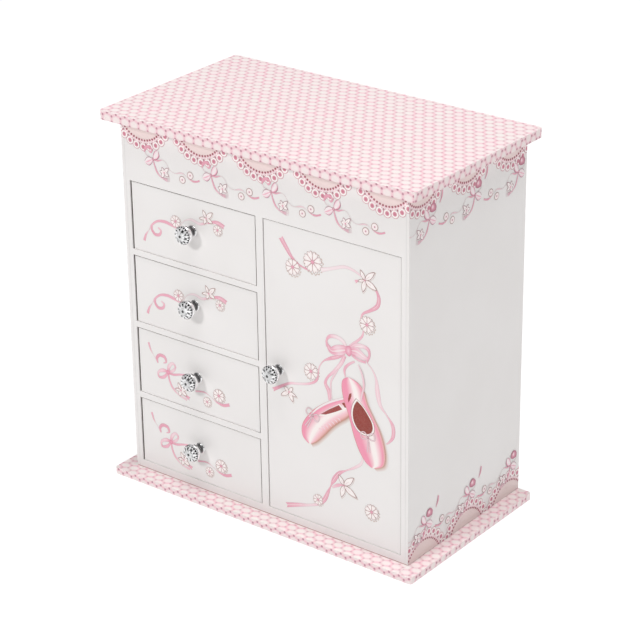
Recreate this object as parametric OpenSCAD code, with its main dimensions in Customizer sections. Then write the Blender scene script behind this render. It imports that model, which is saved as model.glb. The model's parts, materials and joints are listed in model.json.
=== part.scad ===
// Musical ballerina jewellery box: a lift-up lid with a mirror, a tray with ring rolls and a
// turning dancer, four drawers on the left and a necklace cupboard behind a door on the right.
// Millimetres. X to the right, Y to the back, Z up. The origin is on the ground, in the middle.

/* [Carcass] */
// Outside width of the carcass, left to right
body_w = 217.5; // [200:0.5:240]
// Outside depth of the carcass, front to back
body_d = 121; // [110:0.5:140]
// Height of the carcass between the base board and the lid
body_h = 240; // [230:0.5:260]
// Thickness of the side and back panels
side_t = 5.2; // [4:0.1:8]
// Thickness of the front top panel
front_t = 5; // [4:0.1:8]
// Height of the front top panel above the drawers
front_h = 39.15; // [36:0.05:60]
// Thickness of the floor board
floor_t = 5.5; // [4:0.1:8]
// Thickness of the shelves between the drawers
shelf_t = 4; // [3:0.1:6]
// Thickness of the centre divider
divider_t = 5.4; // [4:0.1:8]
// How far the centre divider stands left of the middle
divider_shift = 0.95; // [0:0.05:10]

/* [Slabs] */
// Thickness of the lid
lid_t = 6; // [5:0.1:10]
// Gap between the carcass and the shut lid
lid_gap = 0.3; // [0.2:0.05:1]
// Thickness of the base board
base_t = 4.5; // [4:0.1:10]
// Overhang of the lid at each side
lid_side = 9.6; // [4:0.1:14]
// Overhang of the lid at the front
lid_front = 8.6; // [4:0.1:14]
// Overhang of the lid at the back
lid_back = 1.9; // [1:0.1:3]
// Overhang of the base board at each side
base_side = 10.1; // [4:0.1:14]
// Overhang of the base board at the front
base_front = 11; // [4:0.1:11.3]
// Radius of the slab corners
slab_r = 2.2; // [1:0.1:5]
// Thickness of the felt feet
foot_t = 1; // [0.5:0.1:3]

/* [Drawers] */
// How far a drawer front sits behind the front face
drawer_inset = 0.6; // [0.5:0.1:3]
// Gap at each side of a drawer front
drawer_gap = 1.0; // [0.4:0.1:1.5]
// Thickness of a drawer front
drawer_front_t = 5; // [4:0.1:8]
// Height of a drawer tray
tray_h = 36; // [25:0.5:38]
// Wall thickness of a drawer tray
tray_wall = 2.8; // [2:0.1:4]

/* [Door] */
// How far the door sits behind the front face
door_inset = 0.5; // [0.3:0.1:1.5]
// Thickness of the door
door_t = 5.4; // [4:0.1:8]
// Gap round the door
door_gap = 0.45; // [0.4:0.05:1]
// Distance of the pivot pins from the door's outer face and hinge edge
pivot_in = 1.6; // [1.5:0.1:2]
// Distance of the door knob from the cupboard's left wall
door_knob_in = 10.1; // [8:0.1:20]

/* [Knobs] */
// Radius of a knob crystal
crystal_r = 5.9; // [5:0.1:8]
// Radius of a knob's foot flange
flange_r = 3.7; // [3:0.1:6]
// Length of a knob from the face it stands on
knob_len = 12; // [11:0.1:12]

/* [Tray and dancer] */
// Thickness of the tray floor
tray_floor_t = 4; // [3:0.1:6]
// Height of the dancer's fold above the tray floor
fold_h = 16.5; // [16:0.1:18]
// Length from the fold to the dancer's fingertips
dancer_reach = 48; // [40:0.5:48]
// Radius of the tutu
tutu_r = 13.5; // [10:0.1:14]
// Radius of a ring roll
roll_r = 6.5; // [5:0.1:7]

/* [Movement] */
// Height of the movement's enclosure under the tray floor
movement_h = 48; // [46:0.5:60]
// Radius of the pinned cylinder
cylinder_r = 6; // [5:0.1:7]
// Radius of the spring barrel
barrel_r = 8.8; // [8:0.1:8.9]
// Radius of the winding arbor
arbor_r = 1.5; // [1:0.1:2]

/* [Hidden] */
$fn = 48;
wood = [0.95, 0.94, 0.93];
pink = [0.96, 0.78, 0.83];
rose = [0.86, 0.45, 0.56];
satin = [0.97, 0.85, 0.89];
steel = [0.78, 0.79, 0.81];
brass = [0.83, 0.68, 0.37];
crystal = [0.86, 0.92, 0.95];
skin = [0.93, 0.75, 0.65];
felt = [0.9, 0.88, 0.86];

// Main planes
z_base = foot_t;
z_body = foot_t + base_t;
z_floor = z_body + floor_t;
z_rim = z_body + body_h;
z_front = z_rim - front_h;
z_tray = z_front + tray_floor_t;
z_lid = z_rim + lid_gap;
x_in = body_w / 2 - side_t;
y_front = -body_d / 2;
y_back = body_d / 2;
y_in = y_back - side_t;
y_tray = y_front + front_t;
x_div_l = -divider_shift - divider_t / 2;
x_div_r = -divider_shift + divider_t / 2;

// Drawers, counted from the top
drawer_open_h = (z_front - z_floor - 3 * shelf_t) / 4;
drawer_x0 = -x_in;
drawer_w = x_div_l + x_in;
drawer_y = y_front + drawer_inset;
drawer_back = 50.5;
drawer_mid_x = drawer_x0 + drawer_w / 2;
drawer_knob_x = drawer_mid_x - 0.5;
stud_r = 1.5;
function shelf_z(n) = z_front - n * (drawer_open_h + shelf_t);
function drawer_z(n) = z_front - n * drawer_open_h - (n - 1) * shelf_t;
function drawer_knob_z(n) = drawer_z(n) + drawer_open_h / 2 + 0.8;

// Door
door_y = y_front + door_inset;
door_x0 = x_div_r + door_gap;
door_x1 = x_in - door_gap;
door_z0 = z_floor + 0.25;
door_z1 = z_front - 0.6;
pivot_x = door_x1 - pivot_in;
pivot_y = door_y + pivot_in;
pin_r = 1;
pin_play = 0.05;
knob_x = x_div_r + door_knob_in;
knob_z = (door_z0 + door_z1) / 2 + 0.6;

// Lid hinges
hinge_x = 62;
hinge_w = 22;
leaf_t = 0.7;
knuckle_r = 1.6;
hinge_y = y_back + lid_back + knuckle_r + 0.1;
hinge_z = z_rim + lid_gap / 2;
leaf_y0 = y_back - 3;
leaf_y1 = y_back + lid_back - 0.1;
hinge_pin_r = 0.75;

// Dancer and spindle
stage_x = (x_div_r + x_in) / 2;
fold_z = z_tray + fold_h;
bend_r = 6;
spindle_r = 1.6;
bush_r = 3;
mat_t = 1;

// Movement
z_shelf = z_front - movement_h;
shelf_board_t = 4;
barrel_z = z_shelf + 12;
plate_y0 = 8;
plate_t = 2.2;
cyl_z0 = z_shelf + 26;
cyl_len = 16;
teeth = 18;
comb_x = stage_x + cylinder_r + 0.35;
comb_len = 18;
governor_x = stage_x - 11.4;
shoulder_z = cyl_z0 + cyl_len + 4;

// ---- shared shapes ----

// A block between two opposite corners
module block(a, b) {
    translate(a) cube(b - a);
}

// A slab with round upright corners
module slab(x0, x1, y0, y1, z0, t, r) {
    translate([x0, y0, z0]) linear_extrude(t) {
        translate([r, 0]) square([x1 - x0 - 2 * r, y1 - y0]);
        translate([0, r]) square([x1 - x0, y1 - y0 - 2 * r]);
        for (x = [r, x1 - x0 - r], y = [r, y1 - y0 - r]) translate([x, y]) circle(r);
    }
}

// A rod along X, Y or Z from point p
module rod_x(p, len, r) {
    translate(p) rotate([0, 90, 0]) cylinder(h = len, r = r);
}
module rod_y(p, len, r) {
    translate(p) rotate([-90, 0, 0]) cylinder(h = len, r = r);
}
module rod_z(p, len, r) {
    translate(p) cylinder(h = len, r = r);
}

// A tapered limb from p to q
module limb(p, q, r1, r2) {
    v = q - p;
    len = norm(v);
    translate(p) rotate([0, acos(v.z / len), atan2(v.y, v.x)]) cylinder(h = len, r1 = r1, r2 = r2);
}

// ---- carcass ----

module felt_feet() {
    color(felt) for (sx = [-1, 1], y = [y_front, y_in - 6])
        rod_z([sx * (body_w / 2 - 6), y, 0], foot_t, 7);
}

module base_board() {
    color(pink) slab(-body_w / 2 - base_side, body_w / 2 + base_side,
        y_front - base_front, y_back, z_base, base_t, slab_r);
}

module floor_board() {
    color(wood) difference() {
        block([-x_in, y_front, z_body], [x_in, y_in, z_floor]);
        rod_z([pivot_x, pivot_y, z_floor - 4.2], 5, pin_r + pin_play);
    }
}

module side_panel(x0) {
    color(wood) block([x0, y_front, z_body], [x0 + side_t, y_back, z_rim]);
}
module side_panel_left() { side_panel(-body_w / 2); }
module side_panel_right() { side_panel(x_in); }

module back_panel() {
    color(wood) difference() {
        block([-x_in, y_in, z_body], [x_in, y_back, z_rim]);
        rod_y([stage_x, y_in - 1, barrel_z], side_t + 2, arbor_r + 1.3);
        for (s = [-1, 1])
            block([s * hinge_x - hinge_w / 2 - 0.2, leaf_y0 - 0.1, z_rim - leaf_t],
                [s * hinge_x + hinge_w / 2 + 0.2, y_back + 1, z_rim + 1]);
    }
}

module front_top_panel() {
    color(wood) difference() {
        block([-x_in, y_front, z_front], [x_in, y_tray, z_rim]);
        rod_z([pivot_x, pivot_y, z_front - 1], 5.2, pin_r + pin_play);
    }
}

module centre_divider() {
    color(wood) block([x_div_l, y_front, z_floor], [x_div_r, y_in, z_front]);
}

module drawer_shelf(n) {
    color(wood) block([-x_in, y_front, shelf_z(n)], [x_div_l, y_in, shelf_z(n) + shelf_t]);
}
module drawer_shelf_1() { drawer_shelf(1); }
module drawer_shelf_2() { drawer_shelf(2); }
module drawer_shelf_3() { drawer_shelf(3); }

// ---- tray under the lid ----

module tray_floor() {
    color(wood) difference() {
        block([-x_in, y_tray, z_front], [x_in, y_in, z_tray]);
        rod_z([stage_x, 0, z_front - 1], tray_floor_t + 2, bush_r);
    }
}

module tray_divider() {
    color(wood) block([x_div_l, y_tray, z_tray], [x_div_r, y_in, z_rim - 5.5]);
}

module tray_cross_divider() {
    color(wood) block([-x_in, -1.5, z_tray], [x_div_l, 1.5, z_rim - 9.5]);
}

module ring_rolls() {
    color(satin) {
        block([-x_in + 0.3, y_tray + 0.3, z_tray], [x_div_l - 0.3, -1.8, z_tray + 3]);
        for (i = [0:3])
            rod_x([-x_in + 0.3, y_tray + 0.3 + roll_r + i * 13.2, z_tray + roll_r + 1], drawer_w - 0.6, roll_r);
    }
}

module bin_lining() {
    color(rose) block([-x_in + 0.3, 1.8, z_tray], [x_div_l - 0.3, y_in - 0.3, z_tray + mat_t]);
}

module stage_mat() {
    color(rose) difference() {
        block([x_div_r + 0.3, y_tray + 0.3, z_tray], [x_in - 0.3, y_in - 0.3, z_tray + mat_t]);
        rod_z([stage_x, 0, z_tray - 1], mat_t + 2, 5.2);
    }
}

module spindle_bush() {
    color(brass) difference() {
        union() {
            rod_z([stage_x, 0, z_front], tray_floor_t, bush_r);
            rod_z([stage_x, 0, z_tray], mat_t + 0.4, 5);
        }
        rod_z([stage_x, 0, z_front - 1], tray_floor_t + 4, spindle_r + pin_play);
    }
}

// ---- musical movement ----

module movement_shelf() {
    color(wood) block([x_div_r, y_front + 8, z_shelf - shelf_board_t], [x_in, y_in, z_shelf]);
}

module movement_fascia() {
    color(wood) block([x_div_r, y_front + 8, z_shelf], [x_in, y_front + 11, z_front]);
}

// Upright plate with a foot, a comb block and the arms that carry the cylinder and the governor
module movement_bedplate() {
    color(steel) difference() {
        union() {
            block([stage_x - 21, plate_y0, z_shelf], [stage_x + 27, plate_y0 + plate_t, z_front - 2]);
            block([stage_x - 21, plate_y0, z_shelf], [stage_x + 27, 22, z_shelf + 2]);
            block([comb_x + comb_len - 7, 0.4, cyl_z0 - 1], [comb_x + comb_len, plate_y0, cyl_z0 + cyl_len + 1]);
            for (z = [cyl_z0 - 4.2, cyl_z0 + cyl_len + 2.2])
                block([stage_x - 3, -3, z], [stage_x + 3, plate_y0, z + 1.4]);
            for (z = [cyl_z0 - 3, cyl_z0 + cyl_len + 2.2])
                block([governor_x - 2, -2, z], [governor_x + 2, plate_y0, z + 1.2]);
        }
        rod_z([stage_x, 0, cyl_z0 - 6], cyl_len + 12, 1.05);
        rod_z([governor_x, 0, cyl_z0 - 6], cyl_len + 12, 0.65);
        rod_y([stage_x, 6, barrel_z], 8, arbor_r + pin_play);
    }
}

module movement_comb() {
    color(steel) difference() {
        block([comb_x, -0.4, cyl_z0], [comb_x + comb_len, 0.4, cyl_z0 + cyl_len]);
        for (i = [1:teeth - 1])
            block([comb_x - 1, -1, cyl_z0 + i * cyl_len / teeth - 0.15],
                [comb_x + 11, 1, cyl_z0 + i * cyl_len / teeth + 0.15]);
    }
}

module movement_cylinder() {
    color(brass) difference() {
        union() {
            rod_z([stage_x, 0, cyl_z0], cyl_len, cylinder_r);
            rod_z([stage_x, 0, cyl_z0 - 2.4], 2.4, 3);
            rod_z([stage_x, 0, cyl_z0 + cyl_len], 1.6, cylinder_r + 0.9);
        }
        rod_z([stage_x, 0, cyl_z0 - 4], cyl_len + 8, 1);
    }
}

module spindle() {
    color(steel) {
        rod_z([stage_x, 0, cyl_z0 - 4.2], shoulder_z - cyl_z0 + 4.2, 1);
        rod_z([stage_x, 0, shoulder_z], fold_z - bend_r - shoulder_z, spindle_r);
    }
}

module movement_governor() {
    color(brass) {
        rod_z([governor_x, 0, cyl_z0 - 3], cyl_len + 6.4, 0.6);
        rod_z([governor_x, 0, cyl_z0 + cyl_len], 1.6, 4.2);
        block([governor_x - 4.6, -0.3, cyl_z0 + 1], [governor_x + 4.6, 0.3, cyl_z0 + 10]);
    }
}

module spring_barrel() {
    color(brass) difference() {
        union() {
            rod_y([stage_x, -5.5, barrel_z], 12, barrel_r);
            rod_y([stage_x, -1.2, barrel_z], 2.4, barrel_r + 0.8);
        }
        rod_y([stage_x, -7, barrel_z], 15, arbor_r + pin_play);
    }
}

// Winding arbor with a flat butterfly key on its outer end
module winding_key() {
    key_end = 72;
    color(steel) {
        rod_y([stage_x, -6.5, barrel_z], key_end - 3 + 6.5, arbor_r);
        rod_y([stage_x, y_back + 0.6, barrel_z], 6, 3);
        difference() {
            union() {
                for (s = [-1, 1]) translate([stage_x + s * 7.2, key_end - 8, barrel_z])
                    cylinder(h = 1.6, r = 6.4, center = true);
                block([stage_x - 8, key_end - 10, barrel_z - 0.8], [stage_x + 8, key_end - 3, barrel_z + 0.8]);
            }
            block([stage_x - 20, key_end, barrel_z - 2], [stage_x + 20, key_end + 9, barrel_z + 2]);
            block([stage_x - 20, key_end - 20, barrel_z - 2], [stage_x + 20, y_back + 2, barrel_z + 2]);
        }
        block([stage_x - 1.6, key_end - 3.5, barrel_z - 0.8], [stage_x + 1.6, key_end, barrel_z + 0.8]);
    }
}

// ---- dancer ----

// Puts a shape that stands on the fold in its folded place, bowed towards the front
module folded() {
    translate([stage_x, 0, fold_z]) rotate([90, 0, 0]) children();
}

module ballerina_figure() {
    elbow = [6.4, -0.6, 37.6];
    hand = [1.2, -1.2, dancer_reach - 1.2];
    color(skin) folded() {
        rotate_extrude() polygon([[0, bend_r], [2.3, bend_r], [2.3, 7.4], [1.5, 8], [2.1, 14], [3, 21], [3, 23.4],
            [1.9, 26.4], [2.7, 29.8], [2.6, 31], [1, 32], [1, 33.8], [2.2, 34.6], [2.9, 36.4], [2.4, 38.4],
            [1.4, 39.2], [1.5, 40.4], [0.8, 41.4], [0, 41.5]]);
        for (s = [-1, 1]) {
            limb([s * 2, 0, 30.3], [s * elbow.x, elbow.y, elbow.z], 0.95, 0.75);
            limb([s * elbow.x, elbow.y, elbow.z], [s * hand.x, hand.y, hand.z], 0.75, 0.5);
            translate([s * elbow.x, elbow.y, elbow.z]) sphere(0.85);
            translate([s * hand.x, hand.y, hand.z]) sphere(0.65);
        }
    }
}

module ballerina_tutu() {
    color(satin) folded() rotate_extrude()
        polygon([[3.15, 23.6], [tutu_r, 21.2], [tutu_r, 22.6], [3.15, 25]]);
}

// Bent coil spring between the spindle's top and the dancer's foot, as a solid of its outer shape
module ballerina_spring() {
    color(steel) translate([stage_x, -bend_r, fold_z - bend_r]) rotate([90, 0, 90])
        rotate_extrude(angle = 90) translate([bend_r, 0]) circle(2);
}

// ---- cupboard fittings ----

module door_magnet() {
    color(wood) block([x_div_r, door_y + door_t + 0.9, knob_z - 7], [x_div_r + 7, door_y + door_t + 9, knob_z + 7]);
}

module peg_rail() {
    color(wood) block([x_div_r + 10, y_in - 5, 138], [x_in - 10, y_in, 148]);
}

module necklace_pegs() {
    color(brass) for (i = [-2:2]) {
        rod_y([stage_x + i * 17, y_in - 19, 143], 14, 1.2);
        translate([stage_x + i * 17, y_in - 19, 143]) sphere(2.2);
    }
}

module necklace_pouch() {
    color(satin) difference() {
        block([x_div_r + 12, y_in - 17, z_floor], [x_in - 12, y_in, 58]);
        block([x_div_r + 13.6, y_in - 15.4, z_floor + 1.6], [x_in - 13.6, y_in - 1.6, 60]);
    }
}

// ---- lid ----

module lid_panel() {
    color(pink) difference() {
        slab(-body_w / 2 - lid_side, body_w / 2 + lid_side, y_front - lid_front, y_back + lid_back,
            z_lid, lid_t, slab_r);
        for (s = [-1, 1])
            block([s * hinge_x - hinge_w / 2 - 0.2, leaf_y0 - 0.1, z_lid - 1],
                [s * hinge_x + hinge_w / 2 + 0.2, y_back + lid_back + 1, z_lid + leaf_t]);
    }
}

module lid_mirror() {
    color(steel) block([-75, -42, z_lid - 2], [75, 42, z_lid]);
}

// One leaf at height z with its knuckles between the given parts of the hinge's width
module leaf(s, z, knuckles) {
    x0 = s * hinge_x - hinge_w / 2;
    difference() {
        union() {
            block([x0, leaf_y0, z], [x0 + hinge_w, leaf_y1, z + leaf_t]);
            for (k = knuckles) {
                block([x0 + k[0] * hinge_w, leaf_y1 - 1, z], [x0 + k[1] * hinge_w, hinge_y, z + leaf_t]);
                rod_x([x0 + k[0] * hinge_w, hinge_y, hinge_z], (k[1] - k[0]) * hinge_w, knuckle_r);
            }
        }
        rod_x([x0 - 1, hinge_y, hinge_z], hinge_w + 2, hinge_pin_r + pin_play);
    }
}

module hinge_leaves_body() {
    color(brass) for (s = [-1, 1]) leaf(s, z_rim - leaf_t, [[0, 0.3], [0.7, 1]]);
}

module hinge_leaves_lid() {
    color(brass) for (s = [-1, 1]) leaf(s, z_lid, [[0.31, 0.69]]);
}

module hinge_pins() {
    color(steel) for (s = [-1, 1])
        rod_x([s * hinge_x - hinge_w / 2 - 0.4, hinge_y, hinge_z], hinge_w + 0.8, hinge_pin_r);
}

// ---- door ----

module door_panel() {
    r = 0.8;
    color(wood) difference() {
        union() {
            block([door_x0, door_y, door_z0], [door_x1 - r, door_y + door_t, door_z1]);
            block([door_x0, door_y + r, door_z0], [door_x1, door_y + door_t, door_z1]);
            rod_z([door_x1 - r, door_y + r, door_z0], door_z1 - door_z0, r);
        }
        rod_z([pivot_x, pivot_y, door_z0 - 1], 6, pin_r);
        rod_z([pivot_x, pivot_y, door_z1 - 5], 6, pin_r);
        rod_y([knob_x, door_y - 1, knob_z], door_t + 2, stud_r);
    }
}

module door_pivot_pins() {
    color(steel) {
        rod_z([pivot_x, pivot_y, z_floor - 3.8], door_z0 + 5 - z_floor + 3.8, pin_r);
        rod_z([pivot_x, pivot_y, door_z1 - 5], z_front + 3.8 - door_z1 + 5, pin_r);
    }
}

module door_strike() {
    color(steel) rod_y([x_div_r + 4.2, door_y + door_t, knob_z], 0.6, 3.4);
}

// ---- knobs ----

// Turned metal foot with a cup, on a face at height y, with a stud through the board
module knob_mount(x, y, z, board) {
    color(steel) translate([x, y, z]) rotate([90, 0, 0]) {
        rotate_extrude() polygon([[0, 0], [flange_r, 0], [flange_r, 0.7], [2.7, 1.4], [2, 2.6],
            [2.3, 4.2], [4, 5.6], [5.5, 6.3], [5.8, 6.9], [5.8, 8.7], [4.9, 8.7], [4.9, 7.8], [0, 7.8]]);
        translate([0, 0, -board]) cylinder(h = board + 1, r = stud_r);
    }
}

// Cut crystal in the cup
module knob_crystal(x, y, z) {
    color(crystal) translate([x, y, z]) rotate([90, 0, 0]) rotate_extrude()
        polygon([[0, 7.8], [4.9, 7.8], [4.9, 8.7], [crystal_r, 9.3], [crystal_r, 9.9],
            [crystal_r - 1.6, knob_len - 0.6], [2.4, knob_len], [0, knob_len]]);
}

module door_knob_mount() { knob_mount(knob_x, door_y, knob_z, door_t); }
module door_knob_crystal() { knob_crystal(knob_x, door_y, knob_z); }

// ---- drawers ----

module drawer_front(n) {
    color(wood) difference() {
        block([drawer_x0 + drawer_gap, drawer_y, drawer_z(n) + 0.2],
            [x_div_l - drawer_gap, drawer_y + drawer_front_t, drawer_z(n) + drawer_open_h - 0.75]);
        rod_y([drawer_knob_x, drawer_y - 1, drawer_knob_z(n)], drawer_front_t + 2, stud_r);
    }
}

module drawer_tray(n) {
    a = [drawer_x0 + 1.3, drawer_y + drawer_front_t, drawer_z(n) + 0.2];
    b = [x_div_l - 1.3, drawer_back, a.z + tray_h];
    color(rose) difference() {
        block(a, b);
        block(a + [tray_wall, tray_wall, tray_wall], b + [-tray_wall, -tray_wall, 1]);
        rod_y([drawer_knob_x, a.y - 1, drawer_knob_z(n)], tray_wall + 2, stud_r + 0.3);
    }
}

module drawer_1_front() { drawer_front(1); }
module drawer_1_tray() { drawer_tray(1); }
module drawer_1_knob_mount() { knob_mount(drawer_knob_x, drawer_y, drawer_knob_z(1), drawer_front_t); }
module drawer_1_knob_crystal() { knob_crystal(drawer_knob_x, drawer_y, drawer_knob_z(1)); }
module drawer_2_front() { drawer_front(2); }
module drawer_2_tray() { drawer_tray(2); }
module drawer_2_knob_mount() { knob_mount(drawer_knob_x, drawer_y, drawer_knob_z(2), drawer_front_t); }
module drawer_2_knob_crystal() { knob_crystal(drawer_knob_x, drawer_y, drawer_knob_z(2)); }
module drawer_3_front() { drawer_front(3); }
module drawer_3_tray() { drawer_tray(3); }
module drawer_3_knob_mount() { knob_mount(drawer_knob_x, drawer_y, drawer_knob_z(3), drawer_front_t); }
module drawer_3_knob_crystal() { knob_crystal(drawer_knob_x, drawer_y, drawer_knob_z(3)); }
module drawer_4_front() { drawer_front(4); }
module drawer_4_tray() { drawer_tray(4); }
module drawer_4_knob_mount() { knob_mount(drawer_knob_x, drawer_y, drawer_knob_z(4), drawer_front_t); }
module drawer_4_knob_crystal() { knob_crystal(drawer_knob_x, drawer_y, drawer_knob_z(4)); }

felt_feet();
base_board();
floor_board();
side_panel_left();
side_panel_right();
back_panel();
front_top_panel();
centre_divider();
drawer_shelf_1();
drawer_shelf_2();
drawer_shelf_3();
tray_floor();
tray_divider();
tray_cross_divider();
ring_rolls();
bin_lining();
stage_mat();
spindle_bush();
movement_shelf();
movement_fascia();
movement_bedplate();
movement_comb();
hinge_leaves_body();
hinge_pins();
door_magnet();
peg_rail();
necklace_pegs();
necklace_pouch();
lid_panel();
lid_mirror();
hinge_leaves_lid();
door_panel();
door_pivot_pins();
door_strike();
door_knob_mount();
door_knob_crystal();
drawer_1_front();
drawer_1_tray();
drawer_1_knob_mount();
drawer_1_knob_crystal();
drawer_2_front();
drawer_2_tray();
drawer_2_knob_mount();
drawer_2_knob_crystal();
drawer_3_front();
drawer_3_tray();
drawer_3_knob_mount();
drawer_3_knob_crystal();
drawer_4_front();
drawer_4_tray();
drawer_4_knob_mount();
drawer_4_knob_crystal();
spindle();
movement_cylinder();
ballerina_figure();
ballerina_tutu();
ballerina_spring();
movement_governor();
spring_barrel();
winding_key();
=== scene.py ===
"""Ballerina jewellery box: the looks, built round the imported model."""

import json
import math
import random

import bpy
from mathutils import Matrix, Vector


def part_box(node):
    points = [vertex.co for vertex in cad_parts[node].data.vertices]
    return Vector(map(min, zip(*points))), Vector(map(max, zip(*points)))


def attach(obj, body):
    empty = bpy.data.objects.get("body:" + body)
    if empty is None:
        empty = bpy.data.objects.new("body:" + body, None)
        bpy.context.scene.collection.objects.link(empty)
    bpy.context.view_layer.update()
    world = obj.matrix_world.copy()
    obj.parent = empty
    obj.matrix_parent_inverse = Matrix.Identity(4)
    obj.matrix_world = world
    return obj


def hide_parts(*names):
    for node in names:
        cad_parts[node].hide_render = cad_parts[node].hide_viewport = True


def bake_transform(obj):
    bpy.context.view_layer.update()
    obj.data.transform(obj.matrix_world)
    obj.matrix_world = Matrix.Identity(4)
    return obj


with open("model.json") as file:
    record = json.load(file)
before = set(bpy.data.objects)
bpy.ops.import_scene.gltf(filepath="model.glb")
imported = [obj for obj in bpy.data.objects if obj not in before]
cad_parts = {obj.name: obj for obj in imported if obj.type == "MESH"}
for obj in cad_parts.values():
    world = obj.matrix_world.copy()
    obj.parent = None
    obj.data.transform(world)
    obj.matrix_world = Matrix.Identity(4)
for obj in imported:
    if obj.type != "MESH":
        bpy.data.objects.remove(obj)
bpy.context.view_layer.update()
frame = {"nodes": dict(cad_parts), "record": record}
rng = random.Random(7)
MM = 0.001


def mm_box(node):
    """Lowest and highest corner of a CAD node, in millimetres."""
    low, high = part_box(node)
    return [c / MM for c in low], [c / MM for c in high]


# ---- places, in millimetres, all from the frame ----

LEFT = mm_box("side_panel_left")[0][0]
RIGHT = mm_box("side_panel_right")[1][0]
INNER_L = mm_box("side_panel_left")[1][0]
INNER_R = mm_box("side_panel_right")[0][0]
FRONT = mm_box("side_panel_left")[0][1]
BACK = mm_box("side_panel_left")[1][1]
BOTTOM, RIM = (mm_box("side_panel_left")[k][2] for k in (0, 1))
FLOOR = mm_box("floor_board")[1][2]
BACK_IN = mm_box("back_panel")[0][1]
TRAY_FRONT = mm_box("front_top_panel")[1][1]
LID = mm_box("lid_panel")
BASE = mm_box("base_board")
FOLD = [c / MM for c in next(j for j in frame["record"]["behaviour"]["joints"] if j["name"] == "ballerina_fold")["pos_m"]]
DRAWERS = (1, 2, 3, 4)


# ---- camera, world and lights ----

def aim(obj, position, forward, up=(0, 0, 1)):
    """Places obj so that its -Z looks along forward."""
    f = Vector(forward).normalized()
    r = f.cross(Vector(up)).normalized()
    u = r.cross(f)
    turn = Matrix((r, u, -f)).transposed()
    obj.matrix_world = Matrix.Translation(Vector(position)) @ turn.to_4x4()


def make_camera():
    data = bpy.data.cameras.new("camera")
    data.lens = 131.55
    data.clip_start = 0.05
    cam = bpy.data.objects.new("camera", data)
    bpy.context.scene.collection.objects.link(cam)
    aim(cam, (0.81788, -1.05355, 0.72977), (-0.55848, 0.71674, -0.41759), (-0.2463, 0.3374, 0.9086))
    bpy.context.scene.camera = cam


def area_light(name, position, target, size, watts, colour=(1, 1, 1)):
    data = bpy.data.lights.new(name, "AREA")
    data.shape = "DISK"
    data.size = size
    data.energy = watts
    data.color = colour
    lamp = bpy.data.objects.new(name, data)
    bpy.context.scene.collection.objects.link(lamp)
    aim(lamp, position, Vector(target) - Vector(position))


def make_world():
    scene = bpy.context.scene
    scene.view_settings.view_transform = "Standard"
    scene.view_settings.look = "None"
    world = bpy.data.worlds.new("studio")
    scene.world = world
    world.use_nodes = True
    back = world.node_tree.nodes["Background"]
    back.inputs["Color"].default_value = (1.0, 0.995, 0.99, 1)
    back.inputs["Strength"].default_value = 0.13
    area_light("key_softbox", (-0.22, -1.65, 1.2), (0, 0, 0.14), 0.38, 13)
    area_light("top_softbox", (0.3, -0.15, 2.2), (0, 0, 0.1), 1.9, 36)
    area_light("side_softbox", (2.1, -0.25, 1.3), (0, 0, 0.05), 1.6, 8)


make_camera()
make_world()


# ---- materials ----

def rgb(r, g, b):
    """A display colour as the linear colour that the shader takes."""
    return tuple(c / 12.92 if c <= 0.04045 else ((c + 0.055) / 1.055) ** 2.4 for c in (r, g, b)) + (1,)


class Nodes:
    """Short calls for one material's node graph."""

    def __init__(self, name, roughness=0.5, metallic=0.0, **inputs):
        self.mat = bpy.data.materials.new(name)
        self.mat.use_nodes = True
        self.tree = self.mat.node_tree
        self.shader = self.tree.nodes["Principled BSDF"]
        self.put("Roughness", roughness)
        self.put("Metallic", metallic)
        for key, value in inputs.items():
            self.put(key.replace("_", " "), value)

    def put(self, socket, value):
        """Links a socket or sets a plain value on the shader."""
        self.join(value, self.shader.inputs[socket])

    def join(self, value, socket):
        if isinstance(value, bpy.types.NodeSocket):
            self.tree.links.new(value, socket)
        else:
            socket.default_value = value

    def node(self, kind, out=0, ins=(), **props):
        n = self.tree.nodes.new(kind)
        for key, value in props.items():
            setattr(n, key, value)
        for key, value in dict(ins).items():
            self.join(value, n.inputs[key])
        return n.outputs[out]

    def math(self, op, *values):
        return self.node("ShaderNodeMath", ins=dict(enumerate(values)), operation=op)

    def mul(self, a, b):
        return self.math("MULTIPLY", a, b)

    def add(self, a, b):
        return self.math("ADD", a, b)

    def sub(self, a, b):
        return self.math("SUBTRACT", a, b)

    def abs(self, a):
        return self.math("ABSOLUTE", a)

    def ramp(self, value, low, high, to_low=0.0, to_high=1.0, smooth=True):
        kind = "SMOOTHSTEP" if smooth else "LINEAR"
        ins = {"Value": value, "From Min": low, "From Max": high, "To Min": to_low, "To Max": to_high}
        return self.node("ShaderNodeMapRange", ins=ins, interpolation_type=kind)

    def mix(self, factor, a, b):
        n = self.tree.nodes.new("ShaderNodeMix")
        n.data_type = "RGBA"
        for key, value in ((0, factor), (6, a), (7, b)):
            self.join(value, n.inputs[key])
        return n.outputs[2]

    def place(self):
        """The point on the object in its own coordinates, in metres."""
        return self.node("ShaderNodeTexCoord", out="Object")

    def noise(self, scale, detail=2.0, rough=0.5, where=None):
        ins = {"Vector": where or self.place(), "Scale": scale, "Detail": detail, "Roughness": rough}
        return self.node("ShaderNodeTexNoise", ins=ins)

    def split(self, vector):
        n = self.tree.nodes.new("ShaderNodeSeparateXYZ")
        self.tree.links.new(vector, n.inputs[0])
        return n.outputs

    def bump(self, height, distance, strength=1.0):
        n = self.tree.nodes.new("ShaderNodeBump")
        self.join(height, n.inputs["Height"])
        n.inputs["Distance"].default_value = distance
        n.inputs["Strength"].default_value = strength
        self.put("Normal", n.outputs[0])


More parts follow.
